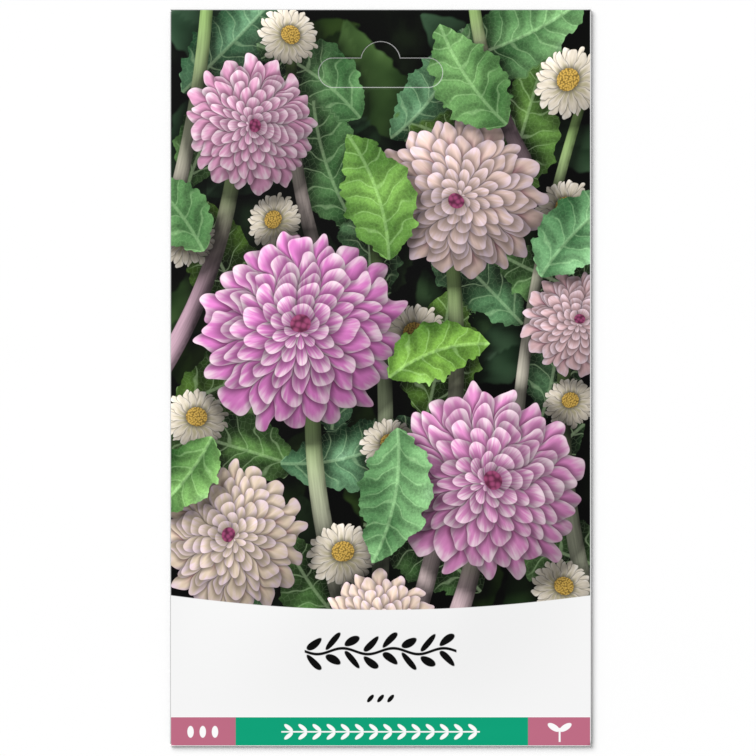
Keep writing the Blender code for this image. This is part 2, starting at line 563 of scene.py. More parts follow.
@dataclass(frozen=True)
class Leaf(Strip):
    """A toothed leaf blade. Its tint is from cool green to warm."""

    light: float = 1.0

    DEEP = linear(44, 104, 62), linear(48, 96, 18)
    BRIGHT = linear(150, 204, 158), linear(150, 200, 74)
    SHEEN = linear(186, 214, 196)
    CURL_SIZE = 9.0

    def width(self, along: Array) -> Array:
        """Half of the blade's width.

        Args:
            along: Places along it, from 0 to 1.

        Returns:
            The half width at them.
        """
        blade = np.sin(np.pi * np.clip(along, 0, 1) ** 0.85) ** 0.8
        wave = 1 + 0.07 * np.sin(30 * along + self.seed) + 0.04 * np.sin(71 * along + 2 * self.seed)
        return self.half_width * blade * wave - 0.05

    def touch(self, points: Array) -> Touch:
        """Draws the blade, curled and lit.

        Args:
            points: The points.

        Returns:
            What it leaves at them.
        """
        offset, across, along = self.measure(points)
        share = np.abs(across) / self.half_width
        curl = Mottle(self.seed + 5).at(points, self.CURL_SIZE) - 0.5
        light = 0.52 + unit(offset) @ LIGHT[:2] * (0.30 - 0.66 * share) + 0.85 * curl
        tint = np.full(len(points), self.tint)
        colour = blend(blend(*self.DEEP, tint), blend(*self.BRIGHT, tint), np.clip(light, 0, 1) ** 1.3)
        colour = colour * (self.light * (0.50 + 0.85 * np.clip(light, 0, 1.1)))[:, None]
        colour = blend(colour, self.SHEEN, 0.45 * smooth(light, 0.72, 1.15) * self.light)
        return Touch(np.abs(across) - self.width(along), colour, across, along * self.length(), share)


@dataclass(frozen=True)
class Bloom:
    """A flower head. What it leaves is its light, and the place on it as parts of its radius."""

    centre: Point
    radius: float
    turn: float
    pale: float
    light: float = 1.0
    squash: float = 0.93

    WARMTH = (1.02, 0.99, 0.98)
    DOME = 0.80
    RIM = 1.04

    def near(self, points: Array) -> Array:
        """Which points are close enough for the head to matter."""
        return np.hypot(*(points - np.array(self.centre)).T) < self.radius + Strip.REACH

    def touch(self, points: Array) -> Touch:
        """Draws the head's light.

        Args:
            points: The points.

        Returns:
            What it leaves at them.
        """
        gap = (points - np.array(self.centre)) / self.radius
        turn = math.radians(self.turn)
        u = gap[:, 0] * math.cos(turn) + gap[:, 1] * math.sin(turn)
        v = (gap[:, 1] * math.cos(turn) - gap[:, 0] * math.sin(turn)) / self.squash
        far = np.hypot(u, v)
        light = self.light * (0.36 + 0.92 * lit(unit(gap), self.DOME * np.minimum(far, 1.1)))
        colour = light[:, None] * np.array(self.WARMTH)
        return Touch((far - self.RIM) * self.radius, colour, u, v, np.full(len(points), self.pale))


Motif = Union[Strip, Bloom]


class Ink(Enum):
    """How a layer of the picture is detailed."""

    SHADE = "shade"
    STEM = "stem"
    LEAF = "leaf"
    DAHLIA = "dahlia"
    DAISY = "daisy"


@dataclass(frozen=True)
class Layer:
    """Motifs of one kind that lie side by side, under the layers that follow."""

    name: str
    ink: Ink
    motifs: Tuple[Motif, ...]

    def touch(self, points: Array) -> Touch:
        """Draws the layer's motifs.

        Args:
            points: The points.

        Returns:
            What the nearest motif leaves at each.
        """
        total = Touch.blank(len(points))
        for motif in self.motifs:
            where = motif.near(points)
            if where.any():
                total.take(motif.touch(points[where]), where)
        return total


@dataclass(frozen=True)
class Foliage:
    """Leaves scattered over the picture, one to a cell."""

    columns: int
    rows: int
    length: float
    breadth: float
    light: float
    seed: int
    low: Point = (-50.0, -58.0)
    high: Point = (50.0, 88.0)
    stray: float = 0.3
    lean: float = 75.0

    def leaves(self) -> List[Leaf]:
        """Draws the leaves by lot.

        Returns:
            The leaves, row by row.
        """
        rng = np.random.default_rng(self.seed)
        low, high = np.array(self.low), np.array(self.high)
        cell = (high - low) / (self.columns, self.rows)
        found = []
        for k in range(self.columns * self.rows):
            spot = low + cell * (k % self.columns + 0.5, k // self.columns + 0.5)
            spot = spot + cell * rng.uniform(-self.stray, self.stray, 2)
            turn = math.radians(90 + rng.uniform(-self.lean, self.lean))
            way = np.array((math.cos(turn), math.sin(turn))) * self.length * rng.uniform(0.42, 0.58)
            breadth = self.breadth * rng.uniform(0.8, 1.2)
            bow, tint = rng.uniform(-0.2, 0.2), rng.uniform(0, 1)
            light = self.light * rng.uniform(0.85, 1.1)
            ends = tuple(spot - way), tuple(spot + way)
            found.append(Leaf(*ends, bow, breadth, tint, self.seed + k, light))
        return found


@dataclass(frozen=True)
class Picture:
    """The printed picture: dahlias and small pale daisies among leaves, on dark ground."""

    dahlias: Tuple[Bloom, ...] = (
        Bloom((-19, 11), 26.0, 25, 0.15),
        Bloom((25, -25), 25.0, -40, 0.25),
        Bloom((19, 43), 21.0, 160, 0.85, 0.97),
        Bloom((-35, -38), 19.0, 80, 1.0, 0.95),
        Bloom((-31, 60), 17.0, -70, 0.40, 0.90),
        Bloom((47, 13), 14.0, 10, 0.70, 0.86),
        Bloom((0, -60), 15.0, 120, 0.95, 1.0),
    )
    daisies: Tuple[Bloom, ...] = (
        Bloom((-9, -42), 8.5, 20, 0.9),
        Bloom((45, 70), 9.0, 60, 0.9),
        Bloom((-22, 81), 7.5, -30, 0.9),
        Bloom((-44, -10), 8.0, 0, 0.9),
        Bloom((8, 10), 8.0, 45, 0.9),
        Bloom((44, 40), 7.5, 45, 0.9),
        Bloom((2, -16), 7.0, 15, 0.9),
        Bloom((-25, 37), 7.0, 70, 0.9),
        Bloom((45, -6), 6.5, 25, 0.9),
        Bloom((-46, 33), 7.5, 50, 0.9),
        Bloom((43, -50), 7.5, -15, 0.9),
    )
    stems: Tuple[Stem, ...] = (
        Stem((-6, -62), (-16, 0), 0.10, 2.1, 0.2),
        Stem((16, -62), (24, -30), -0.08, 2.2, 0.7),
        Stem((6, -64), (16, 36), -0.12, 1.9, 0.6),
        Stem((52, -62), (44, 8), 0.10, 1.8, 0.1),
        Stem((-52, 2), (-34, 56), -0.12, 2.0, 0.9),
        Stem((32, -16), (48, 66), 0.06, 1.3, 0.3),
        Stem((-14, 26), (-21, 78), 0.10, 1.5, 0.5),
        Stem((-2, -66), (-2, 40), -0.06, 1.8, 0.0),
        Stem((-58, 14), (-41, 92), -0.08, 1.7, 0.4),
        Stem((34, 52), (22, 90), 0.10, 1.6, 0.8),
    )
    near: Tuple[Leaf, ...] = (
        Leaf((4, -12), (-2, -44), 0.15, 8.5, 0.3, 1),
        Leaf((2, 28), (-8, 58), -0.15, 8.5, 0.8, 2),
        Leaf((38, 24), (58, 44), 0.12, 8.0, 0.2, 3),
        Leaf((-40, -14), (-54, -32), 0.10, 6.5, 0.6, 4),
        Leaf((30, 60), (14, 84), 0.12, 8.5, 0.5, 5),
        Leaf((2, 0), (26, 8), 0.20, 7.0, 0.9, 6),
        Leaf((-42, 30), (-56, 48), -0.1, 7.0, 0.4, 7),
    )
    middle: Foliage = Foliage(4, 6, 36.0, 8.5, 1.0, 47)
    far: Foliage = Foliage(5, 6, 38.0, 7.0, 0.30, 31)
    ground_tones: Tuple[Rgb, Rgb] = (linear(3, 5, 2), linear(26, 38, 20))
    ground_size: float = 7.0
    ground_seed: int = 3
    shadow: float = 0.80
    shadow_spread: float = 2.6
    shadow_shift: Point = (-0.9, 1.3)

    def layers(self) -> List[Layer]:
        """Sorts the motifs into layers. Neighbouring leaves of a bed go to different ones.

        Returns:
            The layers, from the back up.
        """
        far, middle = self.far.leaves(), self.middle.leaves()
        return [
            Layer("far_leaves_a", Ink.SHADE, tuple(far[::2])),
            Layer("far_leaves_b", Ink.SHADE, tuple(far[1::2])),
            Layer("middle_leaves_a", Ink.LEAF, tuple(middle[::2])),
            Layer("middle_leaves_b", Ink.LEAF, tuple(middle[1::2])),
            Layer("stems", Ink.STEM, self.stems),
            Layer("daisies", Ink.DAISY, self.daisies),
            Layer("dahlias", Ink.DAHLIA, self.dahlias),
            Layer("near_leaves", Ink.LEAF, self.near),
        ]

    def ground(self, points: Array) -> Array:
        """The dark ground that shows between the plants."""
        patch = Mottle(self.ground_seed).at(points, self.ground_size)
        return blend(*self.ground_tones, smooth(patch, 0.5, 0.9))

    def paint(self, mesh: Mesh) -> None:
        """Writes the picture to a mesh as attributes, each layer shaded by those over it.

        Args:
            mesh: The mesh.
        """
        points = read_property(mesh.vertices, "co", 3)[:, :2] / MM
        shifted = points + np.array(self.shadow_shift)
        shade = np.ones(len(points))
        for layer in reversed(self.layers()):
            touch = layer.touch(points)
            colour = np.clip(touch.colour, 0, 1.5) * shade[:, None]
            place = np.stack((touch.across, touch.along, touch.edge), 1)
            write_attribute(mesh, f"{layer.name}_paint", colour)
            write_attribute(mesh, f"{layer.name}_place", place)
            write_attribute(mesh, f"{layer.name}_amount", touch.amount)
            gap = np.maximum(layer.touch(shifted).edge, 0)
            shade = shade * (1 - self.shadow * np.exp(-gap / self.shadow_spread))
        write_attribute(mesh, "ground_paint", self.ground(points) * shade[:, None])


def write_attribute(mesh: Mesh, name: str, values: Array) -> None:
    """Writes an attribute of a mesh's points.

    Args:
        mesh: The mesh.
        name: The attribute's name.
        values: A number, or a row of three, for each point.
    """
    kind, key = ("FLOAT", "value") if values.ndim == 1 else ("FLOAT_VECTOR", "vector")
    attribute = mesh.attributes.new(name, kind, "POINT")
    attribute.data.foreach_set(key, values.astype(np.float32).ravel())


def read_property(items: Sequence, name: str, width: int = 1, kind: type = float) -> Array:
    """Reads a property of each of a mesh's points, faces or corners.

    Args:
        items: The points, faces or corners.
        name: The property's name.
        width: How many numbers it has.
        kind: The type of its numbers.

    Returns:
        Its values: a number for each item, or a row of numbers.
    """
    values = np.zeros(len(items) * width, kind)
    items.foreach_get(name, values)
    return values.reshape(-1, width) if width > 1 else values


# -------------------------------------------------------------------- details of the motifs


@dataclass(frozen=True)
class Stroke:
    """What a layer's motifs leave at a place, in a shader. A Touch says the same of a mesh."""

    paint: Socket
    across: Number
    along: Number
    edge: Number
    amount: Number


# A colour, and the distance outside what has it.
Drawn = Tuple[Colour, Number]


@dataclass(frozen=True)
class Grooves:
    """Fine grooves along stems."""

    fineness: Point = (2.4, 0.10)

    def draw(self, g: Graph, stroke: Stroke) -> Drawn:
        """Adds the grooves to a stem.

        Args:
            g: The material's graph.
            stroke: What the stems leave.

        Returns:
            The colour, and the distance outside the stem.
        """
        across, along = self.fineness
        grooves = g.noise(g.join(stroke.across * across, stroke.along * along), 1.0, 2.0)
        return g.shade(stroke.paint, 0.72 + 0.56 * grooves), stroke.edge


@dataclass(frozen=True)
class Veins:
    """The midrib, side veins, fine net and toothed margin of leaves, in millimetres."""

    tone: Rgb = linear(200, 226, 178)
    rib: Span = (0.55, 0.18)
    rib_strength: float = 0.9
    vein: Span = (0.075, 0.02)
    vein_strength: float = 0.8
    pitch: float = 4.4
    slope: float = 0.19
    curl: float = 0.008
    sway: float = 1.1
    net: Span = (0.08, 0.01)
    net_scale: float = 0.8
    net_strength: float = 0.22
    quilting: float = 0.24
    teeth: float = 2.4

    def draw(self, g: Graph, stroke: Stroke) -> Drawn:
        """Adds the veins to a leaf, and the teeth to its edge.

        Args:
            g: The material's graph.
            stroke: What the leaves leave.

        Returns:
            The colour, and the distance outside the toothed edge.
        """
        out, where = abs(stroke.across), g.join(stroke.across, stroke.along)
        rib = g.step(out, *self.rib)
        bend = g.noise(where, 0.16, 1.0) * self.sway - out * self.slope + out * out * self.curl
        phase = (stroke.along / self.pitch + bend) % 1.0
        vein = g.step(abs(phase - 0.5), *self.vein) * g.step(stroke.amount, 1.0, 0.55)
        net = g.step(g.cells(where, self.net_scale, "DISTANCE_TO_EDGE"), *self.net)
        quilt = g.maths("SINE", phase * (2 * math.pi)) * g.step(out, 0.0, 1.6) * self.quilting
        grain = g.noise(where, 1.6, 4.0, 0.65)
        teeth = (g.noise(where, 0.45, 1.0) - 0.5) * g.step(out - stroke.edge, 0.2, 3.0) * self.teeth
        fresh = g.mix(0.20, g.shade(stroke.paint, 1.45), self.tone)
        share = g.most(rib * self.rib_strength, vein * self.vein_strength, net * self.net_strength)
        colour = g.mix(share, stroke.paint, fresh)
        return g.shade(colour, 0.52 + 0.96 * grain + quilt), stroke.edge + teeth


@dataclass(frozen=True)
class Ring:
    """One ring of petals. Lengths are parts of the head's radius."""

    count: int
    reach: float
    lift: float


@dataclass(frozen=True)
class Head:
    """A place on a flower head, in a shader, and what the head's petals share."""

    far: Number  # From the head's middle.
    turns: Number  # Round it.
    slant: Number  # How far a ring that is lifted by 1 seems to be shifted.
    wobble: Number
    streaks: Number
    seed: Number
    deep: Socket
    bright: Socket


@dataclass(frozen=True)
class Spot:
    """A place on one ring of petals, in a shader."""

    across: Number  # From one side of the petal to the other, from -1 to 1.
    chance: Number  # The petal's own, from 0 to 1.
    gap: Number  # The distance outside its tip.


@dataclass(frozen=True)
class Petals:
    """How the heads of one kind of flower are drawn, from rings of petals and a disc."""

    rings: Tuple[Ring, ...]
    disc: float
    disc_tone: Rgb
    deep: Rgb
    bright: Rgb
    tip: Rgb
    pale_deep: Rgb
    pale: Rgb
    notch: float = 0.26
    length: float = 0.42
    tip_start: float = 0.70
    lean: Point = (0.05, 0.11)
    span: float = 22.0
    twist: float = 0.38
    cup: float = 0.34
    groove: float = 0.35
    shadow: float = 0.62
    disc_lift: float = 0.95
    disc_scale: float = 17.0

    def head(self, g: Graph, stroke: Stroke) -> Head:
        """Works out what the rings of a head share.

        Args:
            g: The material's graph.
            stroke: What the heads leave.

        Returns:
            The place on the head.
        """
        u, v, pale = stroke.across, stroke.along, stroke.amount
        far = g.maths("SQRT", u * u + v * v)
        safe = g.most(far, 0.03)
        wobble = g.noise(g.join(u + pale * 9.0, v), 2.6, 1.0) - 0.5
        ray = g.join(u / safe * 7.0, v / safe * 7.0, far * 2.2 + pale)
        streaks = g.noise(ray, 1.6, 2.0, 0.6, False)
        turns = g.maths("ARCTAN2", v, u) * (0.5 / math.pi)
        slant = (u * self.lean[0] + v * self.lean[1]) / safe
        seed = g.maths("ROUND", pale * 40.0)
        deep = g.mix(pale, self.deep, self.pale_deep)
        bright = g.mix(pale, self.bright, self.pale)
        return Head(far, turns, slant, wobble, streaks, seed, deep, bright)

    def spot(self, g: Graph, head: Head, k: int) -> Spot:
        """Finds the place on a ring of petals.

        Args:
            g: The material's graph.
            head: The place on the head.
            k: The ring's number, from the outside in.

        Returns:
            The place on the ring.
        """
        ring = self.rings[k]
        turn = head.turns * float(ring.count) + (head.wobble * 0.9 + self.twist * k)
        petal = g.maths("FLOOR", turn + 0.001) % float(ring.count)
        chance = g.chance(petal + (head.seed + 23.0 * k))
        across = (turn % 1.0) * 2.0 - 1.0
        fall = 1.0 - across * across * self.notch
        gap = head.far - head.slant * ring.lift - fall * (chance * 0.09 + 0.93) * ring.reach
        return Spot(across, chance, gap)

    def lay(self, g: Graph, head: Head, spot: Spot, over: Number, under: Colour) -> Socket:
        """Lays a ring of petals over what is under it: deep, then bright, then the tip's tone.

        Args:
            g: The material's graph.
            head: The place on the head.
            spot: The place on the ring.
            over: The distance outside what lies over the ring.
            under: The colour under it.

        Returns:
            The colour.
        """
        along, streak = spot.gap / self.length + 1.0, head.streaks - 0.5
        petal = g.mix(g.step(along + streak * 0.3, 0.1, 0.75), head.deep, head.bright)
        petal = g.mix(g.step(along + streak * 0.9, self.tip_start, 1.15), petal, self.tip)
        cup = spot.across * 0.10 + 1.06 - spot.across * spot.across * self.cup
        cup = cup - g.step(abs(spot.across), 0.84, 1.0) * self.groove
        shadow = g.step(over, -0.02, 0.15) * self.shadow + (1 - self.shadow)
        petal = g.shade(petal, shadow * cup * (spot.chance * 0.22 + 0.72 + head.streaks * 0.34))
        return g.mix(g.below(spot.gap, 0.0, 0.005), under, petal)

    def draw(self, g: Graph, stroke: Stroke) -> Drawn:
        """Draws the heads, from their outer ring up to the disc.

        Args:
            g: The material's graph.
            stroke: The light on the heads, the place on them, and how pale their petals are.

        Returns:
            The colour, and the distance outside the petals.
        """
        head = self.head(g, stroke)
        colour: Colour = self.deep
        spot = self.spot(g, head, 0)
        outline = spot.gap
        for k in range(1, len(self.rings)):
            inner = self.spot(g, head, k)
            outline = g.least(outline, inner.gap)
            colour = self.lay(g, head, spot, inner.gap, colour)
            spot = inner
        disc = head.far - head.slant * self.disc_lift - self.disc
        colour = self.lay(g, head, spot, disc, colour)
        florets = g.step(g.cells(g.join(stroke.across, stroke.along), self.disc_scale), 0.75, 0.1)
        middle = g.shade(self.disc_tone, florets * 0.75 + 0.35)
        colour = g.mix(g.below(disc, 0.0, 0.006), colour, middle)
        return g.filter(colour, stroke.paint), g.most(outline * self.span, stroke.edge)


DAHLIA = Petals(
    rings=(
        Ring(17, 1.00, 0.00),
        Ring(17, 0.90, 0.12),
        Ring(16, 0.79, 0.26),
        Ring(15, 0.67, 0.40),
        Ring(13, 0.54, 0.54),
        Ring(11, 0.41, 0.68),
        Ring(9, 0.28, 0.80),
        Ring(6, 0.16, 0.90),
    ),
    disc=0.05,
    disc_tone=linear(150, 70, 110),
    deep=linear(128, 38, 112),
    bright=linear(214, 100, 200),
    tip=linear(243, 222, 234),
    pale_deep=linear(158, 108, 116),
    pale=linear(238, 220, 196),
)
DAISY = Petals(
    rings=(Ring(15, 1.00, 0.0), Ring(15, 0.93, 0.2)),
    disc=0.30,
    disc_tone=linear(208, 172, 84),
    deep=linear(176, 170, 140),
    bright=linear(226, 216, 204),
    tip=linear(246, 242, 232),
    pale_deep=linear(176, 170, 140),
    pale=linear(232, 224, 206),
    notch=0.42,
    length=0.6,
    tip_start=0.75,
    span=8.0,
)

DETAILS: Dict[Ink, Union[Grooves, Veins, Petals]] = {
    Ink.STEM: Grooves(),
    Ink.LEAF: Veins(),
    Ink.DAHLIA: DAHLIA,
    Ink.DAISY: DAISY,
}


# ------------------------------------------------------------------------------- ornaments


@dataclass(frozen=True)
class Sprig:
    """A leafy sprig on a waving stalk."""

    reach: float = 18.0
    wave: float = 12.0
    sway: float = 0.7
    pitch: float = 4.5
    leaf: Point = (2.3, 0.85)
    leaf_turn: float = 42.0
    leaf_rise: float = 2.2
    stalk: float = 0.34

    def mask(self, g: Graph, x: Number, y: Number) -> Number:
        """Draws the sprig along the x axis.

        Args:
            g: The material's graph.
            x: The place along it, from its middle.
            y: The place across it.

        Returns:
            Its mask.
        """
        off = abs(y - g.maths("SINE", x * (2 * math.pi / self.wave)) * self.sway)
        leaf_x = (x % self.pitch) - self.pitch / 2
        leaf = g.ellipse(leaf_x, off - self.leaf_rise, self.leaf, self.leaf_turn)
        inside = g.below(abs(x), self.reach, 0.1)
        return g.most(leaf, g.below(off, self.stalk, 0.08)) * inside


@dataclass(frozen=True)
class LeafRow:
    """A straight stalk with a pair of small leaves at each step."""

    reach: float = 23.55
    pitch: float = 3.36
    leaf: Point = (1.25, 0.48)
    leaf_turn: float = -38.0
    leaf_rise: float = 0.98
    stalk: float = 0.17

    def mask(self, g: Graph, x: Number, y: Number) -> Number:
        """Draws the row along the x axis.

        Args:
            g: The material's graph.
            x: The place along it, from its middle.
            y: The place across it.

        Returns:
            Its mask.
        """
        off = abs(y)
        stalk = g.below(off, self.stalk)
        leaf_x = (x % self.pitch) - self.pitch / 2
        leaf = g.ellipse(leaf_x, off - self.leaf_rise, self.leaf, self.leaf_turn)
        return g.most(leaf, stalk) * g.below(abs(x), self.reach)


@dataclass(frozen=True)
class Seeds:
    """A few seeds side by side, an odd number of them."""

    pitch: float
    seed: Point
    turn: float = 0.0
    count: int = 3

    def mask(self, g: Graph, x: Number, y: Number) -> Number:
        """Draws the seeds round the origin.

        Args:
            g: The material's graph.
            x: The place across.
            y: The place up.

        Returns:
            Their mask.
        """
        half = self.pitch / 2
        seed = g.ellipse((x + half) % self.pitch - half, y, self.seed, self.turn)
        return seed * g.below(abs(x), self.count * half)


@dataclass(frozen=True)
class Seedling:
    """A seedling with its first two leaves."""

    leaf: Point = (1.62, 0.72)
    leaf_turn: float = 32.0
    leaf_place: Point = (1.4, 1.05)
    stalk: Point = (0.22, 1.65)
    stalk_drop: float = 0.75

    def mask(self, g: Graph, x: Number, y: Number) -> Number:
        """Draws the seedling round the origin.

        Args:
            g: The material's graph.
            x: The place across.
            y: The place up.

        Returns:
            Its mask.
        """
        side = abs(x)
        leaf_x, leaf_y = side - self.leaf_place[0], y - self.leaf_place[1]
        leaves = g.ellipse(leaf_x, leaf_y, self.leaf, self.leaf_turn)
        stalk = g.most(side - self.stalk[0], abs(y + self.stalk_drop) - self.stalk[1])
        return g.most(leaves, g.below(stalk, 0.0, 0.08))


# ------------------------------------------------------------------------------- finishes


# The band along the foot, and the pink of its boxes and of the back's first row.
BAND_RISE = 6.91
BAND_GREEN = linear(6, 161, 120)
BOX_PINK = linear(190, 108, 132)

# The varnish over both prints: how bright it leaves them, its gloss and its relief.
VARNISH_TONE = 0.93
VARNISH_GLOSS = 0.10
VARNISH_RELIEF = 0.004 * MM


def varnish(g: Graph, colour: Colour, tone: Operand, rough: float, grain: Number) -> Material:
    """Finishes a print with a coat of varnish, which leaves it as bright as tone."""
    g.shader.inputs["Specular IOR Level"].default_value = VARNISH_GLOSS
    return g.finish(g.shade(colour, tone), rough + 0.12 * grain, grain, VARNISH_RELIEF)


@dataclass(frozen=True)
class FrontPrint:
    """The printed front: the picture, the light panel, the band and their ornaments."""

    picture: Picture
    half_width: float
    half_height: float
    slot: "EuroSlot"
    cut_line: float = 0.09
    cut_strength: float = 0.48
    panel_rise: float = 35.87
    panel_sag: float = 3.3
    panel_tone: Rgb = linear(246, 246, 246)
    sprig: Sprig = Sprig()
    sprig_rise: float = 22.7
    buds: Seeds = Seeds(2.4, (1.15, 0.5), 50.0)
    buds_rise: float = 11.4
    left_box: float = 15.6
    right_box: float = 15.0
    row: LeafRow = LeafRow()
    seeds: Seeds = Seeds(2.9, (0.76, 1.4))
    seedling: Seedling = Seedling()
    line_rise: float = 0.12
    line_half: float = 0.13
    side_rim: float = 0.26
    end_rim: float = 0.22
    black: Rgb = linear(6, 6, 6)
    white: Rgb = linear(252, 252, 252)
    # Painted shade on the folds' rims: the next tone on the right rim, and the one after it, darker, on the
    # left and top rims, which face the light.
    pale: Rgb = linear(230, 230, 230)
    rim_shade: Rgb = linear(197, 197, 197)

    def material(self) -> Material:
        """Builds the material, from the picture up.

        Returns:
            The material.
        """
        g = Graph("front_print")
        x, y, _ = g.place()
        colour = g.attribute("ground_paint")
        for layer in self.picture.layers():
            colour = self.lay(g, layer, colour)
        colour = self.panel(g, x, y, colour)
        colour = self.band(g, x, y, colour)
        colour = self.rim(g, x, y, colour)
        cut = g.below(abs(self.slot.distance(g, x, y)), self.cut_line)
        colour = g.mix(cut * self.cut_strength, colour, self.white)
        return varnish(g, colour, VARNISH_TONE, 0.30, g.noise(g.join(x, y), 2.2, 3.0))

    def lay(self, g: Graph, layer: Layer, under: Link) -> Link:
        """Lays one layer of the picture over what is under it.

        Args:
            g: The material's graph.
            layer: The layer.
            under: The colour under it.

        Returns:
            The colour.
        """
        paint = g.attribute(f"{layer.name}_paint")
        across, along, edge = g.split(g.attribute(f"{layer.name}_place", "Vector"))
        if layer.ink is Ink.SHADE:
            return g.mix(g.below(edge, 0.0, 0.45), under, paint)
        amount = Number(g, g.attribute(f"{layer.name}_amount", "Fac"))
        colour, edge = DETAILS[layer.ink].draw(g, Stroke(paint, across, along, edge, amount))
        return g.mix(g.below(edge, 0.0, 0.12), under, colour)

    def panel(self, g: Graph, x: Number, y: Number, colour: Link) -> Link:
        """Lays the light panel under the picture, with a sprig across it and three buds.

        Args:
            g: The material's graph.
            x: The place across the front.
            y: The place up the front.
            colour: The colour so far.

        Returns:
            The colour.
        """
        share = x / self.half_width
        middle = self.panel_rise - self.panel_sag - self.half_height
        edge = y - (share * share * self.panel_sag + middle)
        colour = g.mix(g.below(edge, 0.0, 0.10), colour, self.panel_tone)
        sprig = self.sprig.mask(g, x, y + (self.half_height - self.sprig_rise))
        buds = self.buds.mask(g, x, y + (self.half_height - self.buds_rise))
        return g.mix(g.most(sprig, buds), colour, self.black)

    def band(self, g: Graph, x: Number, y: Number, colour: Link) -> Link:
        """Lays the band with its two pink boxes, small white ornaments and a white line over it.

        Args:
            g: The material's graph.
            x: The place across the front.
            y: The place up the front.
            colour: The colour so far.

        Returns:
            The colour.
        """
        left = g.below(self.half_width + x, self.left_box)
        right = g.below(self.half_width - x, self.right_box)
        band = g.mix(g.most(left, right), BAND_GREEN, BOX_PINK)
        low = y + (self.half_height - BAND_RISE / 2)
        row = self.row.mask(g, x, low)
        seeds = self.seeds.mask(g, x + (self.half_width - self.left_box / 2), low)
        seedling = self.seedling.mask(g, x - (self.half_width - self.right_box / 2), low)
        band = g.mix(g.most(row, seeds, seedling), band, self.white)
        edge = y + (self.half_height - BAND_RISE)
        line = g.below(abs(edge - self.line_rise), self.line_half)
        return g.mix(g.below(edge, 0.0), g.mix(line, colour, self.white), band)

    def rim(self, g: Graph, x: Number, y: Number, colour: Link) -> Link:
        """Lays the bare margin that the folds leave round the print, tinted with painted shade.

        Args:
            g: The material's graph.
            x: The place across the front.
            y: The place up the front.
            colour: The colour so far.

        Returns:
            The colour.
        """
        # Painted shade: the left and top rims, which face the light, are darkest, the right rim is lighter,
        # and the foot's rim stays white.
        margins = (
            (self.half_width + x - self.side_rim, self.rim_shade),
            (self.half_height - y - self.end_rim, self.rim_shade),
            (self.half_width - x - self.side_rim, self.pale),
            (self.half_height + y - self.end_rim, self.white),
        )
        for gap, tone in margins:
            colour = g.mix(g.below(gap, 0.0), colour, tone)
        return colour


@dataclass(frozen=True)
class BackPrint:
    """The printed back: a sowing chart and ruled lines, over the band along its foot, edged with a dark
    grey rim that is painted shade.
    """

    half_width: float
    half_height: float
    rim: float = 0.25
    months: int = 12
    cell: Point = (6.6, 5.4)
    gap: float = 0.35
    chart_y: float = 12.0
    spells: Tuple[Tuple[int, int], ...] = ((8, 11), (3, 6), (5, 7))
    lines: int = 4
    lines_y: float = -26.0
    line_pitch: float = 8.0
    line_half: float = 0.12
    sprig: Sprig = Sprig()
    sprig_y: float = 36.0
    tone: Rgb = linear(243, 243, 241)
    grey: Rgb = linear(222, 222, 219)
    # Painted shade: a dark grey on the edges and fold walls, which keeps them from lighting the shadow on
    # the floor beside the packet.
    rim_shade: Rgb = linear(140, 140, 140)

    def material(self) -> Material:
        """Builds the material.

        Returns:
            The material.
        """
        g = Graph("back_print")
        x, y, z = g.place()
        colour = self.chart(g, x, y - self.chart_y, self.tone)
        colour = g.mix(self.sprig.mask(g, x, y - self.sprig_y), colour, BAND_GREEN)
        low, pitch = y - self.lines_y, self.line_pitch
        ruled = g.block(x, low, (self.cell[0] * self.months / 2, self.lines * pitch / 2))
        ruled = ruled * g.below(abs(low % pitch - pitch / 2), self.line_half, 0.04)
        colour = g.mix(ruled, colour, self.grey)
        foot = g.below(y, BAND_RISE - self.half_height, 0.08)
        colour = g.mix(foot, colour, BAND_GREEN)
        # The dark grey rim round the edges is painted shade, which keeps the shadow beside the folds dark.
        inside = g.block(x, y, (self.half_width - self.rim, self.half_height - self.rim))
        colour = g.mix(inside, self.rim_shade, colour)
        where = g.join(x, y, z)
        cloud = g.noise(where, 0.06, 2.0, flat=False)
        tone = (0.97 + 0.05 * cloud) * VARNISH_TONE
        return varnish(g, colour, tone, 0.34, g.noise(where, 2.2, 3.0, flat=False))

    def chart(self, g: Graph, x: Number, y: Number, colour: Colour) -> Link:
        """Lays a chart of the year: a row of cells for each task, with its months filled in.

        Args:
            g: The material's graph.
            x: The place across the chart, from its middle.
            y: The place up the chart, from its middle.
            colour: The colour so far.

        Returns:
            The colour.
        """
        width, height = self.cell
        half = (width * self.months / 2, height * len(self.spells) / 2)
        local = ((x + half[0]) % width - width / 2, (y + half[1]) % height - height / 2)
        cells = g.block(*local, (width / 2 - self.gap, height / 2 - self.gap)) * g.block(x, y, half)
        fill: Colour = self.grey
        for row, (first, last) in enumerate(self.spells):
            middle = (width * (first + last) / 2 - half[0], height * (row + 0.5) - half[1])
            spell = g.block(x - middle[0], y - middle[1], (width * (last - first) / 2, height / 2))
            fill = g.mix(spell, fill, BAND_GREEN if row else BOX_PINK)
        return g.mix(cells, colour, fill)


@dataclass(frozen=True)
class BarePaper:
    """The uncoated inside and the cut edges of the sheet."""

    tone: Rgb = linear(247, 245, 240)
    fibre_tone: Rgb = linear(238, 235, 228)
    relief: float = 0.006 * MM

    def material(self) -> Material:
        """Builds the material.

        Returns:
            The material.
        """
        g = Graph("bare_paper")
        x, y, z = g.place()
        fibre = g.noise(g.join(x, y * 0.4, z), 6.0, 4.0, 0.6, False)
        colour = g.shade(g.mix(fibre, self.tone, self.fibre_tone), 0.95 + 0.1 * fibre)
        return g.finish(colour, 0.78 + 0.12 * fibre, fibre, self.relief)


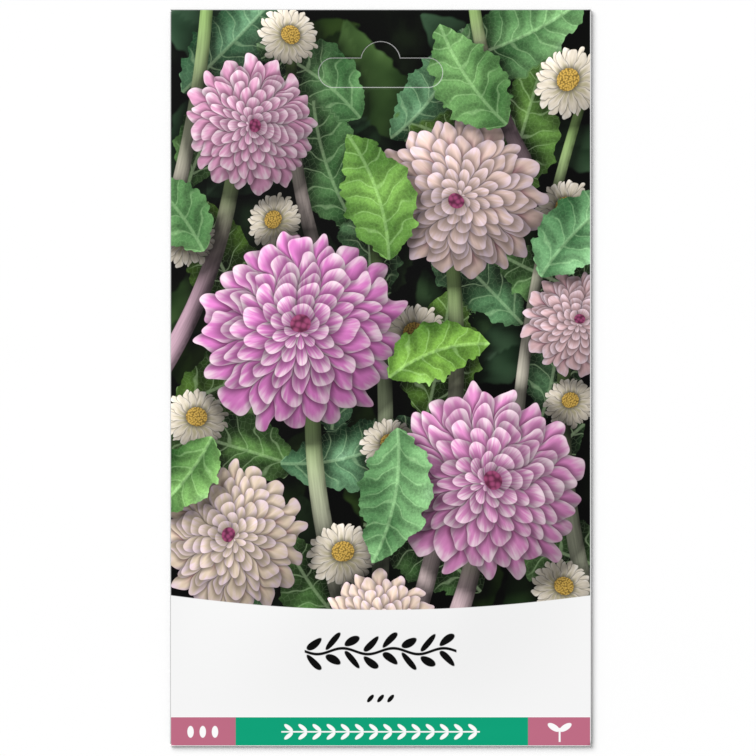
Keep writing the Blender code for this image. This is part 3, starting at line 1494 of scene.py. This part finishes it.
@dataclass(frozen=True)
class DriedGlue:
    """Dried cold glue, slightly clear and uneven."""

    tone: Rgb = linear(238, 230, 206)
    thick_tone: Rgb = linear(214, 200, 160)
    relief: float = 0.02 * MM

    def material(self) -> Material:
        """Builds the material.

        Returns:
            The material.
        """
        g = Graph("dried_glue")
        smear = g.noise(g.join(*g.place()), 0.9, 3.0, flat=False)
        colour = g.mix(smear, self.tone, self.thick_tone)
        return g.finish(colour, 0.25 + 0.3 * smear, smear, self.relief)


@dataclass(frozen=True)
class SeedCoat:
    """The dark, finely pitted coat of the seeds."""

    tone: Rgb = linear(74, 46, 38)
    dark_tone: Rgb = linear(38, 26, 26)
    relief: float = 0.05 * MM

    def material(self) -> Material:
        """Builds the material.

        Returns:
            The material.
        """
        g = Graph("seed_coat")
        where = g.join(*g.place())
        patch = g.noise(where, 0.35, 2.0, flat=False)
        pits = g.noise(where, 6.0, 3.0, 0.7, False)
        colour = g.mix(g.step(patch, 0.38, 0.62), self.tone, self.dark_tone)
        return g.finish(g.shade(colour, 0.7 + 0.6 * pits), 0.5 + 0.25 * pits, pits, self.relief)


@dataclass(frozen=True)
class StudioFloor:
    """Plain pale studio card."""

    tone: Rgb = (0.93, 0.93, 0.93)
    rough: float = 0.9

    def material(self) -> Material:
        """Builds the material.

        Returns:
            The material.
        """
        g = Graph("studio_floor")
        cloud = g.noise(g.join(*g.place()), 0.02, 2.0)
        return g.finish(g.shade(self.tone, 0.995 + 0.01 * cloud), self.rough)


# --------------------------------------------------------------------------------- pieces


# How far apart two places on the sheet may be and still count as one, in metres.
SLACK = 1e-7

# What passes for rounding in a ratio of two lengths.
ROUNDING = 1e-6

# How near a fold's axis a point counts as being on it, as a part of the fold's radius.
ON_AXIS = 1e-4

# The heights between which a die cuts, below and above all of the packet.
DIE_LOW = -3.0 * MM
DIE_HIGH = 6.0 * MM

Placer = Callable[[BMVert, float], None]


class Side(IntEnum):
    """Which side of the paper a face is on, as its place among the sheet's materials."""

    FRONT = 0
    BACK = 1
    INSIDE = 2


def new_piece(name: str, bm: BMesh, materials: Sequence[Material]) -> Object:
    """Makes an object from a bmesh, and frees the bmesh.

    Args:
        name: The piece's name.
        bm: The bmesh, with the piece's place in it.
        materials: The piece's materials, in the order of its face indices.

    Returns:
        The object.
    """
    mesh = bpy.data.meshes.new(name)
    bm.to_mesh(mesh)
    bm.free()
    for material in materials:
        mesh.materials.append(material)
    piece = bpy.data.objects.new(name, mesh)
    bpy.context.scene.collection.objects.link(piece)
    return piece


def thicken(piece: Object, thickness: float) -> None:
    """Gives a sheet its thickness, with bare paper on its inside and its edges.

    Args:
        piece: The sheet, as the middle of the paper.
        thickness: The paper's thickness.
    """
    wall = piece.modifiers.new("paper", "SOLIDIFY")
    wall.thickness = thickness
    wall.offset = 0.0
    wall.use_even_offset = True
    wall.material_offset = Side.INSIDE
    wall.material_offset_rim = Side.INSIDE


def die_cut(piece: Object, die: BMesh, operation: str) -> None:
    """Cuts a sheet with a die, and applies the sheet's modifiers.

    Args:
        piece: The sheet, with its materials.
        die: The die, as a solid.
        operation: DIFFERENCE to cut the die's outline out, INTERSECT to keep what is in it.
    """
    cutter = new_piece("die", die, [piece.data.materials[Side.INSIDE]])
    cut = piece.modifiers.new("cut", "BOOLEAN")
    cut.operation = operation
    cut.object = cutter
    cut.material_mode = "TRANSFER"
    graph = bpy.context.evaluated_depsgraph_get()
    mesh = bpy.data.meshes.new_from_object(piece.evaluated_get(graph))
    mesh.name = piece.name
    piece.modifiers.clear()
    piece.data = mesh
    bpy.data.objects.remove(cutter)


def new_verts(geometry: Sequence) -> List[BMVert]:
    """The vertices among what an operator made."""
    return [item for item in geometry if isinstance(item, BMVert)]


def new_edges(geometry: Sequence) -> List[BMEdge]:
    """The edges among what an operator made."""
    return [item for item in geometry if isinstance(item, BMEdge)]


def stations(size: float, *breaks: float) -> List[float]:
    """Cuts each stretch between breaks into equal steps.

    Args:
        size: The longest that a step may be.
        breaks: The places to stop at, in rising or falling order.

    Returns:
        The stops, with the breaks among them.
    """
    found = [breaks[0]]
    for start, end in zip(breaks, breaks[1:]):
        steps = max(1, math.ceil(abs(end - start) / size - ROUNDING))
        found += [start + (end - start) * (k + 1) / steps for k in range(steps)]
    return found


def draw_out(bm: BMesh, edges: List[BMEdge], stops: Sequence[float], place: Placer) -> None:
    """Extrudes free edges once for each stop.

    Args:
        bm: The sheet.
        edges: The free edges.
        stops: The stops, from the edges on.
        place: What moves a new vertex to its stop.
    """
    for stop in stops:
        made = bmesh.ops.extrude_edge_only(bm, edges=edges)["geom"]
        verts = set(new_verts(made))
        for vert in verts:
            place(vert, stop)
        edges = [edge for edge in new_edges(made) if verts.issuperset(edge.verts)]


@dataclass(frozen=True)
class EuroSlot:
    """The die-cut hang slot: a long slot with round ends and a dome over it, in millimetres."""

    middle: Vector  # In metres.
    length: float = 29.5
    height: float = 7.0
    dome_radius: float = 4.7
    dome_sink: float = 0.8
    steps: int = 16

    def arc(self, centre: Point, radius: float, start: float, end: float) -> List[Point]:
        """Points round a centre, from one angle to the other in degrees."""
        turns = [math.radians(start + (end - start) * k / self.steps) for k in range(self.steps + 1)]
        return [(centre[0] + radius * math.cos(a), centre[1] + radius * math.sin(a)) for a in turns]

    def outline(self, inset: float) -> List[Point]:
        """Goes round the slot.

        Args:
            inset: How far the outline is drawn in.

        Returns:
            Its points, counterclockwise.
        """
        x, y = self.middle.x / MM, self.middle.y / MM
        radius = self.height / 2
        run = self.length / 2 - radius
        dome = self.dome_radius - inset
        dip = math.degrees(math.asin((self.dome_sink - inset) / dome))
        return [
            *self.arc((x + run, y), radius - inset, -90, 90),
            *self.arc((x, y + radius - self.dome_sink), dome, dip, 180 - dip),
            *self.arc((x - run, y), radius - inset, 90, 270),
        ]

    def die(self, inset: float = 0.0) -> BMesh:
        """Makes a die of the slot's outline.

        Args:
            inset: How far the outline is drawn in.

        Returns:
            The die, as a solid in metres.
        """
        bm = bmesh.new()
        verts = [bm.verts.new((x * MM, y * MM, DIE_LOW)) for x, y in self.outline(inset)]
        face = bm.faces.new(verts)
        made = bmesh.ops.extrude_face_region(bm, geom=[face])["geom"]
        bmesh.ops.translate(bm, verts=new_verts(made), vec=(0, 0, DIE_HIGH - DIE_LOW))
        bmesh.ops.recalc_face_normals(bm, faces=bm.faces)
        return bm

    def distance(self, g: Graph, x: Number, y: Number) -> Number:
        """Measures the distance outside the outline in a shader.

        Args:
            g: The material's graph.
            x: The place across the packet.
            y: The place up the packet.

        Returns:
            The distance.
        """
        x, y = x - self.middle.x / MM, y - self.middle.y / MM
        radius = self.height / 2
        run = g.most(abs(x) - (self.length / 2 - radius), 0.0)
        bar = g.maths("SQRT", run * run + y * y) - radius
        rise = y - (radius - self.dome_sink)
        dome = g.maths("SQRT", x * x + rise * rise) - self.dome_radius
        return g.least(bar, dome)


@dataclass
class Envelope:
    """The folded sheet. Heights are those of the middle of the paper, in metres."""

    low: Vector
    high: Vector
    paper: float
    z_flap: float
    z_back: float
    z_front: float
    seam_x: float
    foot_y: float
    head_y: float
    slot: EuroSlot
    mesh_size: float = 0.85 * MM
    coarse_size: float = 4.0 * MM
    clearance: float = 0.004 * MM
    corner_reach: float = 0.01 * MM
    corner_pull: float = 0.7
    crease: float = 0.22
    fold_steps: int = 10
    taper: float = 2.5 * MM
    seam_setback: float = 1.0 * MM
    swell_side: Span = (15.0 * MM, 49.5 * MM)
    swell_foot: Span = (-84.0 * MM, -50.0 * MM)
    swell_head: Span = (-10.0 * MM, 58.0 * MM)
    sink_side: Span = (33.0 * MM, 37.0 * MM)
    sink_foot: Span = (-71.0 * MM, -61.0 * MM)
    sink_head: Span = (50.0 * MM, 60.0 * MM)
    ripple: float = 0.05 * MM
    front_facing: float = 0.02
    materials: List[Material] = field(default_factory=list)
    z_seam: float = field(init=False)
    left_bend: float = field(init=False)
    right_bend: float = field(init=False)
    end_bend: float = field(init=False)
    x_left: float = field(init=False)
    x_right: float = field(init=False)
    y_end: float = field(init=False)
    swell: float = field(init=False)

    def __post_init__(self) -> None:
        """Works out the bends, and the lines where they leave the front."""
        half = self.paper / 2
        self.z_seam = (self.z_back + self.z_front) / 2
        self.left_bend = (self.z_front - self.z_back) / 2
        self.right_bend = (self.z_front - self.z_seam) / 2
        self.end_bend = (self.z_front - self.z_flap) / 2
        self.x_left = self.low.x + self.left_bend + half
        self.x_right = self.high.x - self.right_bend - half
        self.y_end = self.high.y - self.end_bend - half
        self.swell = self.high.z - self.z_front - half - self.ripple

    def front_height(self, x: float, y: float) -> float:
        """Finds the front panel's height: swollen by the seed, and very slightly uneven.

        Args:
            x: The place across the panel.
            y: The place up the panel.

        Returns:
            The height.
        """
        across = 1 - smooth(abs(x), *self.swell_side)
        head = 1 - smooth(y, *self.swell_head)
        along, calm = smooth(y, *self.swell_foot) * head, across * head
        uneven = math.sin(x / MM * 0.11 + 1.7) * math.sin(y / MM * 0.083 + 0.6 + x / MM * 0.03)
        ripple = self.ripple * uneven * calm * (along > 0)
        return float(self.z_front + self.swell * across * along + ripple)

    def back_height(self, x: float, y: float) -> float:
        """Finds the back panel's height, which sinks between the end flaps.

        Args:
            x: The place across the panel.
            y: The place up the panel.

        Returns:
            The height.
        """
        across = 1 - smooth(abs(x), *self.sink_side)
        along = smooth(y, *self.sink_foot) * (1 - smooth(y, *self.sink_head))
        return float(self.z_back - (self.z_back - self.z_flap) * across * along)

    def front_panel(self, bm: BMesh) -> None:
        """Adds the front panel, as a fine grid.

        Args:
            bm: The sheet.
        """
        xs = stations(self.mesh_size, self.x_left, self.x_right)
        ys = stations(self.mesh_size, -self.y_end, self.y_end)
        columns, rows = len(xs) - 1, len(ys) - 1
        made = bmesh.ops.create_grid(bm, x_segments=columns, y_segments=rows, size=0.5)
        for vert in made["verts"]:
            x = xs[round((vert.co.x + 0.5) * columns)]
            y = ys[round((vert.co.y + 0.5) * rows)]
            vert.co = (x, y, self.front_height(x, y))

    @staticmethod
    def side(bm: BMesh, axis: int, at: float, reach: float) -> List[BMEdge]:
        """Finds the edges on one side of the front panel.

        Args:
            bm: The sheet.
            axis: 0 for a line across the x axis, 1 for one across the y axis.
            at: Where the line crosses it.
            reach: How far the side reaches each way along the line.

        Returns:
            The edges.
        """
        room = reach + SLACK
        return [
            edge
            for edge in bm.edges
            if all(abs(v.co[axis] - at) < SLACK and abs(v.co[1 - axis]) < room for v in edge.verts)
        ]

    def fold(
        self, bm: BMesh, edges: List[BMEdge], centre: Vector, axis: Vector, bend: float
    ) -> List[BMEdge]:
        """Turns the sheet half a turn round a line, and presses the fold into a crease.

        Args:
            bm: The sheet.
            edges: The free edges on the line.
            centre: A point on the axis of the fold.
            axis: The axis's direction.
            bend: The fold's radius.

        Returns:
            The new free edges.
        """
        known = set(bm.verts)
        made = bmesh.ops.spin(bm, geom=edges, cent=centre, axis=axis, angle=math.pi, steps=self.fold_steps)
        up = Vector((0, 0, 1))
        for vert in set(bm.verts) - known:
            for way in (axis.cross(up), up):
                reach = (vert.co - centre).dot(way) / bend
                if abs(reach) > ON_AXIS:
                    squared = math.copysign(min(abs(reach), 1.0) ** self.crease, reach)
                    vert.co += way * bend * (squared - reach)
        return new_edges(made["geom_last"])

    def add_back(self, bm: BMesh, edges: List[BMEdge]) -> None:
        """Adds the left fold, and the back panel on it.

        Args:
            bm: The sheet.
            edges: The front panel's left side.
        """
        bend = self.left_bend
        centre = Vector((self.x_left, 0, self.z_front - bend))
        edges = self.fold(bm, edges, centre, Vector((0, -1, 0)), bend)
        inner, outer = self.sink_side
        free = self.high.x - self.seam_setback
        stops = stations(self.coarse_size, self.x_left, -outer, -inner, inner, outer, free)

        def place(vert: BMVert, x: float) -> None:
            """Moves a vertex of the back panel to its stop."""
            vert.co.x = x
            vert.co.z = self.back_height(x, vert.co.y)

        draw_out(bm, edges, stops[1:], place)

    def add_seam_flap(self, bm: BMesh, edges: List[BMEdge]) -> None:
        """Adds the right fold, and the seam flap on it.

        Args:
            bm: The sheet.
            edges: The front panel's right side.
        """
        bend = self.right_bend
        centre = Vector((self.x_right, 0, self.z_front - bend))
        edges = self.fold(bm, edges, centre, Vector((0, 1, 0)), bend)
        stops = stations(self.coarse_size, self.x_right, self.seam_x)

        def place(vert: BMVert, x: float) -> None:
            """Moves a vertex of the seam flap to its stop."""
            vert.co.x = x

        draw_out(bm, edges, stops[1:], place)

    def add_end(self, bm: BMesh, edges: List[BMEdge], way: int, free: float) -> None:
        """Adds the fold at one end, and the flap on it, whose sides draw in.

        Args:
            bm: The sheet.
            edges: The front panel's side at that end.
            way: -1 for the foot, 1 for the head.
            free: Where the flap's free edge is.
        """
        known = set(bm.verts)
        bend, end, half = self.end_bend, way * self.y_end, self.x_right
        centre = Vector((0, end, self.z_front - bend))
        edges = self.fold(bm, edges, centre, Vector((-way, 0, 0)), bend)
        self.square_corners(set(bm.verts) - known)
        slope = self.taper / abs(free - end)

        def place(vert: BMVert, y: float) -> None:
            """Moves a vertex of the end flap to its stop, and in towards the middle."""
            vert.co.x *= (half - slope * abs(y - end)) / (half - slope * abs(vert.co.y - end))
            vert.co.y = y

        draw_out(bm, edges, stations(self.coarse_size, end, free)[1:], place)

    def square_corners(self, verts: Set[BMVert]) -> None:
        """Draws the ends of an end fold out sideways, so that the packet's corners are sharp.

        Args:
            verts: The fold's vertices.
        """
        for vert in verts:
            bulge = max(abs(vert.co.y) - self.y_end, 0) / self.end_bend
            for side, outer in ((self.x_left, self.low.x), (self.x_right, self.high.x)):
                if abs(vert.co.x - side) < SLACK:
                    reach = outer - math.copysign(self.corner_reach, outer)
                    vert.co.x = side + (reach - side) * min(bulge, 1.0) ** self.corner_pull

    def build(self) -> Object:
        """Builds the sheet: folded, given its thickness, and cut through by the slot.

        Returns:
            The sheet.
        """
        bm = bmesh.new()
        self.front_panel(bm)
        left, right = (self.side(bm, 0, x, self.y_end) for x in (self.x_left, self.x_right))
        foot, head = (self.side(bm, 1, y, self.high.x) for y in (-self.y_end, self.y_end))
        self.add_back(bm, left)
        self.add_seam_flap(bm, right)
        self.add_end(bm, foot, -1, self.foot_y)
        self.add_end(bm, head, 1, self.head_y)
        bmesh.ops.recalc_face_normals(bm, faces=bm.faces)
        bm.normal_update()
        if max(bm.faces, key=lambda face: face.calc_center_median().z).normal.z < 0:
            bmesh.ops.reverse_faces(bm, faces=bm.faces)
            bm.normal_update()
        for face in bm.faces:
            face.smooth = True
            face.material_index = Side.FRONT if face.normal.z > self.front_facing else Side.BACK
        sheet = new_piece("printed_sheet", bm, self.materials)
        thicken(sheet, self.paper - 2 * self.clearance)
        die_cut(sheet, self.slot.die(), "DIFFERENCE")
        return sheet


@dataclass(frozen=True)
class Cell:
    """A rectangle of the sheet's outside, and where it lies on the texture map."""

    low: Point
    high: Point
    corner: Point
    size: Point

    def place(self, points: Array) -> Array:
        """Where points of the sheet lie on the map."""
        low, high = np.array(self.low), np.array(self.high)
        return np.array(self.corner) + (points - low) / (high - low) * np.array(self.size)


@dataclass(frozen=True)
class FlatLayout:
    """The sheet's texture map: the front as large as fits, and beside it the rest."""

    envelope: Envelope
    name: str = "OFBake"
    front_width: float = 0.562
    rest_width: float = 0.422
    margin: float = 0.004

    def cells(self) -> Dict[str, Cell]:
        """Lays the map out.

        Returns:
            The front, the back, the outside of each end flap, and all that faces inwards.
        """
        e, margin, front, rest = self.envelope, self.margin, self.front_width, self.rest_width
        low, high = (e.low.x, e.low.y), (e.high.x, e.high.y)
        length = high[1] - low[1]
        foot, head = (e.foot_y - low[1]) / length, (high[1] - e.head_y) / length
        tall = length / (high[0] - low[0])
        left, scale = front + 3 * margin, rest * tall
        rows = [margin]
        for share in (1.0, foot, head):
            rows.append(rows[-1] + share * scale + 2 * margin)
        return {
            "front": Cell(low, high, (margin, margin), (front, front * tall)),
            "back": Cell(low, high, (left, rows[0]), (rest, scale)),
            "foot": Cell(low, (high[0], e.foot_y), (left, rows[1]), (rest, foot * scale)),
            "head": Cell((low[0], e.head_y), high, (left, rows[2]), (rest, head * scale)),
            "inside": Cell(low, high, (left, rows[3]), (rest, 1 - margin - rows[3])),
        }

    def sort(self, middles: Array, sides: Array) -> Array:
        """Finds each face's cell.

        Args:
            middles: The faces' middles.
            sides: The numbers of their materials.

        Returns:
            The names of their cells.
        """
        e, back = self.envelope, sides == Side.BACK
        flap = back & (middles[:, 2] < (e.z_flap + e.z_back) / 2)
        hidden = (middles[:, 2] > (e.z_back + e.z_seam) / 2) & (middles[:, 0] < e.x_right)
        found = np.full(len(sides), "inside")
        found[sides == Side.FRONT] = "front"
        found[back & ~hidden] = "back"
        found[flap & (middles[:, 1] < e.foot_y)] = "foot"
        found[flap & (middles[:, 1] > e.head_y)] = "head"
        return found

    def apply(self, mesh: Mesh) -> None:
        """Writes the map to the sheet.

        Args:
            mesh: The sheet's mesh.
        """
        faces, loops = mesh.polygons, mesh.loops
        points = read_property(mesh.vertices, "co", 3)
        corners = points[read_property(loops, "vertex_index", 1, int), :2]
        sides = read_property(faces, "material_index", 1, int)
        names = self.sort(read_property(faces, "center", 3), sides)
        names = np.repeat(names, read_property(faces, "loop_total", 1, int))
        places = np.zeros((len(loops), 2))
        for name, cell in self.cells().items():
            places[names == name] = cell.place(corners[names == name])
        layer = mesh.uv_layers.new(name=self.name)
        layer.uv.foreach_set("vector", places.astype(np.float32).ravel())


@dataclass(frozen=True)
class HangTab:
    """The push-out tab in the front layer, which carries the print on."""

    envelope: Envelope
    pitch: float = 0.8 * MM
    gap: float = 0.02 * MM
    plate: Point = (1.15, 2.53)  # As parts of the slot's length and height.

    def build(self) -> Object:
        """Builds the tab from a plate of fine squares, cut to the slot's outline.

        Returns:
            The tab.
        """
        e, slot = self.envelope, self.envelope.slot
        width, height = slot.length * self.plate[0] * MM, slot.height * self.plate[1] * MM
        columns, rows = math.ceil(width / self.pitch), math.ceil(height / self.pitch)
        bm = bmesh.new()
        made = bmesh.ops.create_grid(bm, x_segments=columns, y_segments=rows, size=0.5)
        bmesh.ops.scale(bm, vec=(width, height, 1), verts=made["verts"])
        bmesh.ops.translate(bm, vec=(*slot.middle, e.z_front), verts=made["verts"])
        plate = new_piece("printed_tab", bm, e.materials)
        thicken(plate, e.paper)
        die_cut(plate, slot.die(self.gap / MM), "INTERSECT")
        return plate


@dataclass(frozen=True)
class SeedCharge:
    """The loose seed: round grains spread in one layer, in a sunflower pattern."""

    low: Vector
    high: Vector
    count: int = 300
    diameter: float = 1.8 * MM
    vary: float = 0.12
    spread: float = 0.96
    segments: int = 8
    rings: int = 5
    seed: int = 7

    def build(self, material: Material) -> Object:
        """Builds the grains as one piece.

        Args:
            material: Their coat.

        Returns:
            The piece.
        """
        rng = np.random.default_rng(self.seed)
        centre, half = (self.low + self.high) / 2, (self.high - self.low) / 2
        golden = math.pi * (3 - math.sqrt(5))
        bm = bmesh.new()
        for k in range(self.count):
            reach, turn = self.spread * math.sqrt((k + 0.5) / self.count), k * golden
            radius = self.diameter / 2 * (1 - self.vary * rng.random())
            x = centre.x + (half.x - radius) * reach * math.cos(turn)
            y = centre.y + (half.y - radius) * reach * math.sin(turn)
            spin = Euler(rng.uniform(0, 2 * math.pi, 3))
            place = Matrix.LocRotScale(Vector((x, y, self.low.z + radius)), spin, None)
            bmesh.ops.create_uvsphere(
                bm, u_segments=self.segments, v_segments=self.rings, radius=radius, matrix=place
            )
        for face in bm.faces:
            face.smooth = True
        return new_piece("loose_seed", bm, [material])


# --------------------------------------------------------------------------------- studio


@dataclass(frozen=True)
class Studio:
    """A pale floor, soft light from the upper left, and a camera that looks straight down."""

    view_width: float = 179.8 * MM
    lens: float = 120.0
    sensor: float = 36.0
    aim: Point = (-0.61 * MM, -0.07 * MM)
    floor_size: float = 3.0
    floor_drop: float = 0.02 * MM
    sun_strength: float = 3.09
    sun_angle: float = 46.0
    sun_lean: float = 45.0
    sun_turn: float = 48.0
    sky: float = 0.38

    def build(self) -> None:
        """Builds the floor, the lights and the camera."""
        bm = bmesh.new()
        bmesh.ops.create_grid(bm, x_segments=1, y_segments=1, size=self.floor_size / 2)
        bmesh.ops.translate(bm, vec=(0, 0, -self.floor_drop), verts=bm.verts)
        new_piece("studio_floor", bm, [StudioFloor().material()])
        self.light()
        self.camera()

    def light(self) -> None:
        """Adds a soft key light over an even sky."""
        world = bpy.data.worlds.new("studio")
        world.use_nodes = True
        sky = world.node_tree.nodes["Background"]
        sky.inputs["Color"].default_value = (1, 1, 1, 1)
        sky.inputs["Strength"].default_value = self.sky
        bpy.context.scene.world = world
        bpy.context.scene.view_settings.view_transform = "Standard"
        key = bpy.data.lights.new("key", "SUN")
        key.energy = self.sun_strength
        key.angle = math.radians(self.sun_angle)
        lean, turn = math.radians(self.sun_lean), math.radians(self.sun_turn)
        toward = Vector((-math.sin(lean) * math.cos(turn), math.sin(lean) * math.sin(turn), math.cos(lean)))
        lamp = bpy.data.objects.new("key", key)
        lamp.rotation_euler = toward.to_track_quat("Z", "Y").to_euler()
        bpy.context.scene.collection.objects.link(lamp)

    def camera(self) -> None:
        """Adds a camera with a long lens, far enough up to take in the view's width."""
        lens = bpy.data.cameras.new("camera")
        lens.lens = self.lens
        lens.sensor_width = self.sensor
        camera = bpy.data.objects.new("camera", lens)
        camera.location = (*self.aim, self.view_width * self.lens / self.sensor)
        bpy.context.scene.collection.objects.link(camera)
        bpy.context.scene.camera = camera


# ---------------------------------------------------------------------------------- build


# How far each piece of the frame lies inside the edge that it is next to.
TAB_INSET = 0.25 * MM
SEAM_GLUE_INSET = 2.5 * MM
FOOT_GLUE_INSET = 2.5 * MM
HEAD_GLUE_INSET = 1.25 * MM


def middle_height(node: str) -> float:
    """The height of the middle of a flat CAD node."""
    low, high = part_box(node)
    return (low.z + high.z) / 2


def envelope_from_frame() -> Envelope:
    """Takes the sheet's sizes from the frame.

    Returns:
        The envelope, without its materials.
    """
    low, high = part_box("envelope_sheet")
    tab_low, tab_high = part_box("front_hang_tab")
    middle = Vector(((tab_low.x + tab_high.x) / 2, tab_low.y - TAB_INSET + EuroSlot.height / 2 * MM))
    return Envelope(
        low=low,
        high=high,
        paper=tab_high.z - tab_low.z,
        z_flap=middle_height("flap_hang_tab"),
        z_back=middle_height("back_hang_tab"),
        z_front=middle_height("front_hang_tab"),
        seam_x=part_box("seam_glue")[0].x - SEAM_GLUE_INSET,
        foot_y=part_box("foot_flap_glue")[1].y + FOOT_GLUE_INSET,
        head_y=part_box("head_flap_glue")[0].y - HEAD_GLUE_INSET,
        slot=EuroSlot(middle),
    )


def dress_node(node: Object, material: Material) -> None:
    """Gives a CAD node that stays its finish.

    Args:
        node: The node.
        material: The finish.
    """
    node.data.materials.clear()
    node.data.materials.append(material)
    LOG.info("%s: kept, with %s", node.name, material.name)


def adopt(piece: Object, node: str) -> None:
    """Makes a piece ride on the packet and stand for a CAD node.

    Args:
        piece: The piece.
        node: The CAD node that it replaces.
    """
    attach(piece, BODY)
    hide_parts(node)
    LOG.info("%s: %d faces, for %s", piece.name, len(piece.data.polygons), node)


def main() -> None:
    """Builds the packet round its frame, and the studio that it lies in."""
    logging.basicConfig(level=logging.INFO, format="%(name)s: %(message)s")
    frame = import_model()
    nodes: Dict[str, Object] = frame["nodes"]
    envelope = envelope_from_frame()
    half_width, half_height = envelope.high.x / MM, envelope.high.y / MM
    picture = Picture()
    front = FrontPrint(picture, half_width, half_height, envelope.slot).material()
    back = BackPrint(half_width, half_height).material()
    bare = BarePaper().material()
    envelope.materials = [front, back, bare, bare]

    sheet = envelope.build()
    picture.paint(sheet.data)
    FlatLayout(envelope).apply(sheet.data)
    adopt(sheet, "envelope_sheet")
    tab = HangTab(envelope).build()
    picture.paint(tab.data)
    adopt(tab, "front_hang_tab")
    seed = SeedCharge(*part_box("seed_charge")).build(SeedCoat().material())
    adopt(seed, "seed_charge")

    glue = DriedGlue().material()
    finishes = {
        "back_hang_tab": bare,
        "flap_hang_tab": back,
        "seam_glue": glue,
        "foot_flap_glue": glue,
        "head_flap_glue": glue,
    }
    for name, material in finishes.items():
        dress_node(nodes[name], material)
    Studio().build()


if __name__ == "__main__":
    main()
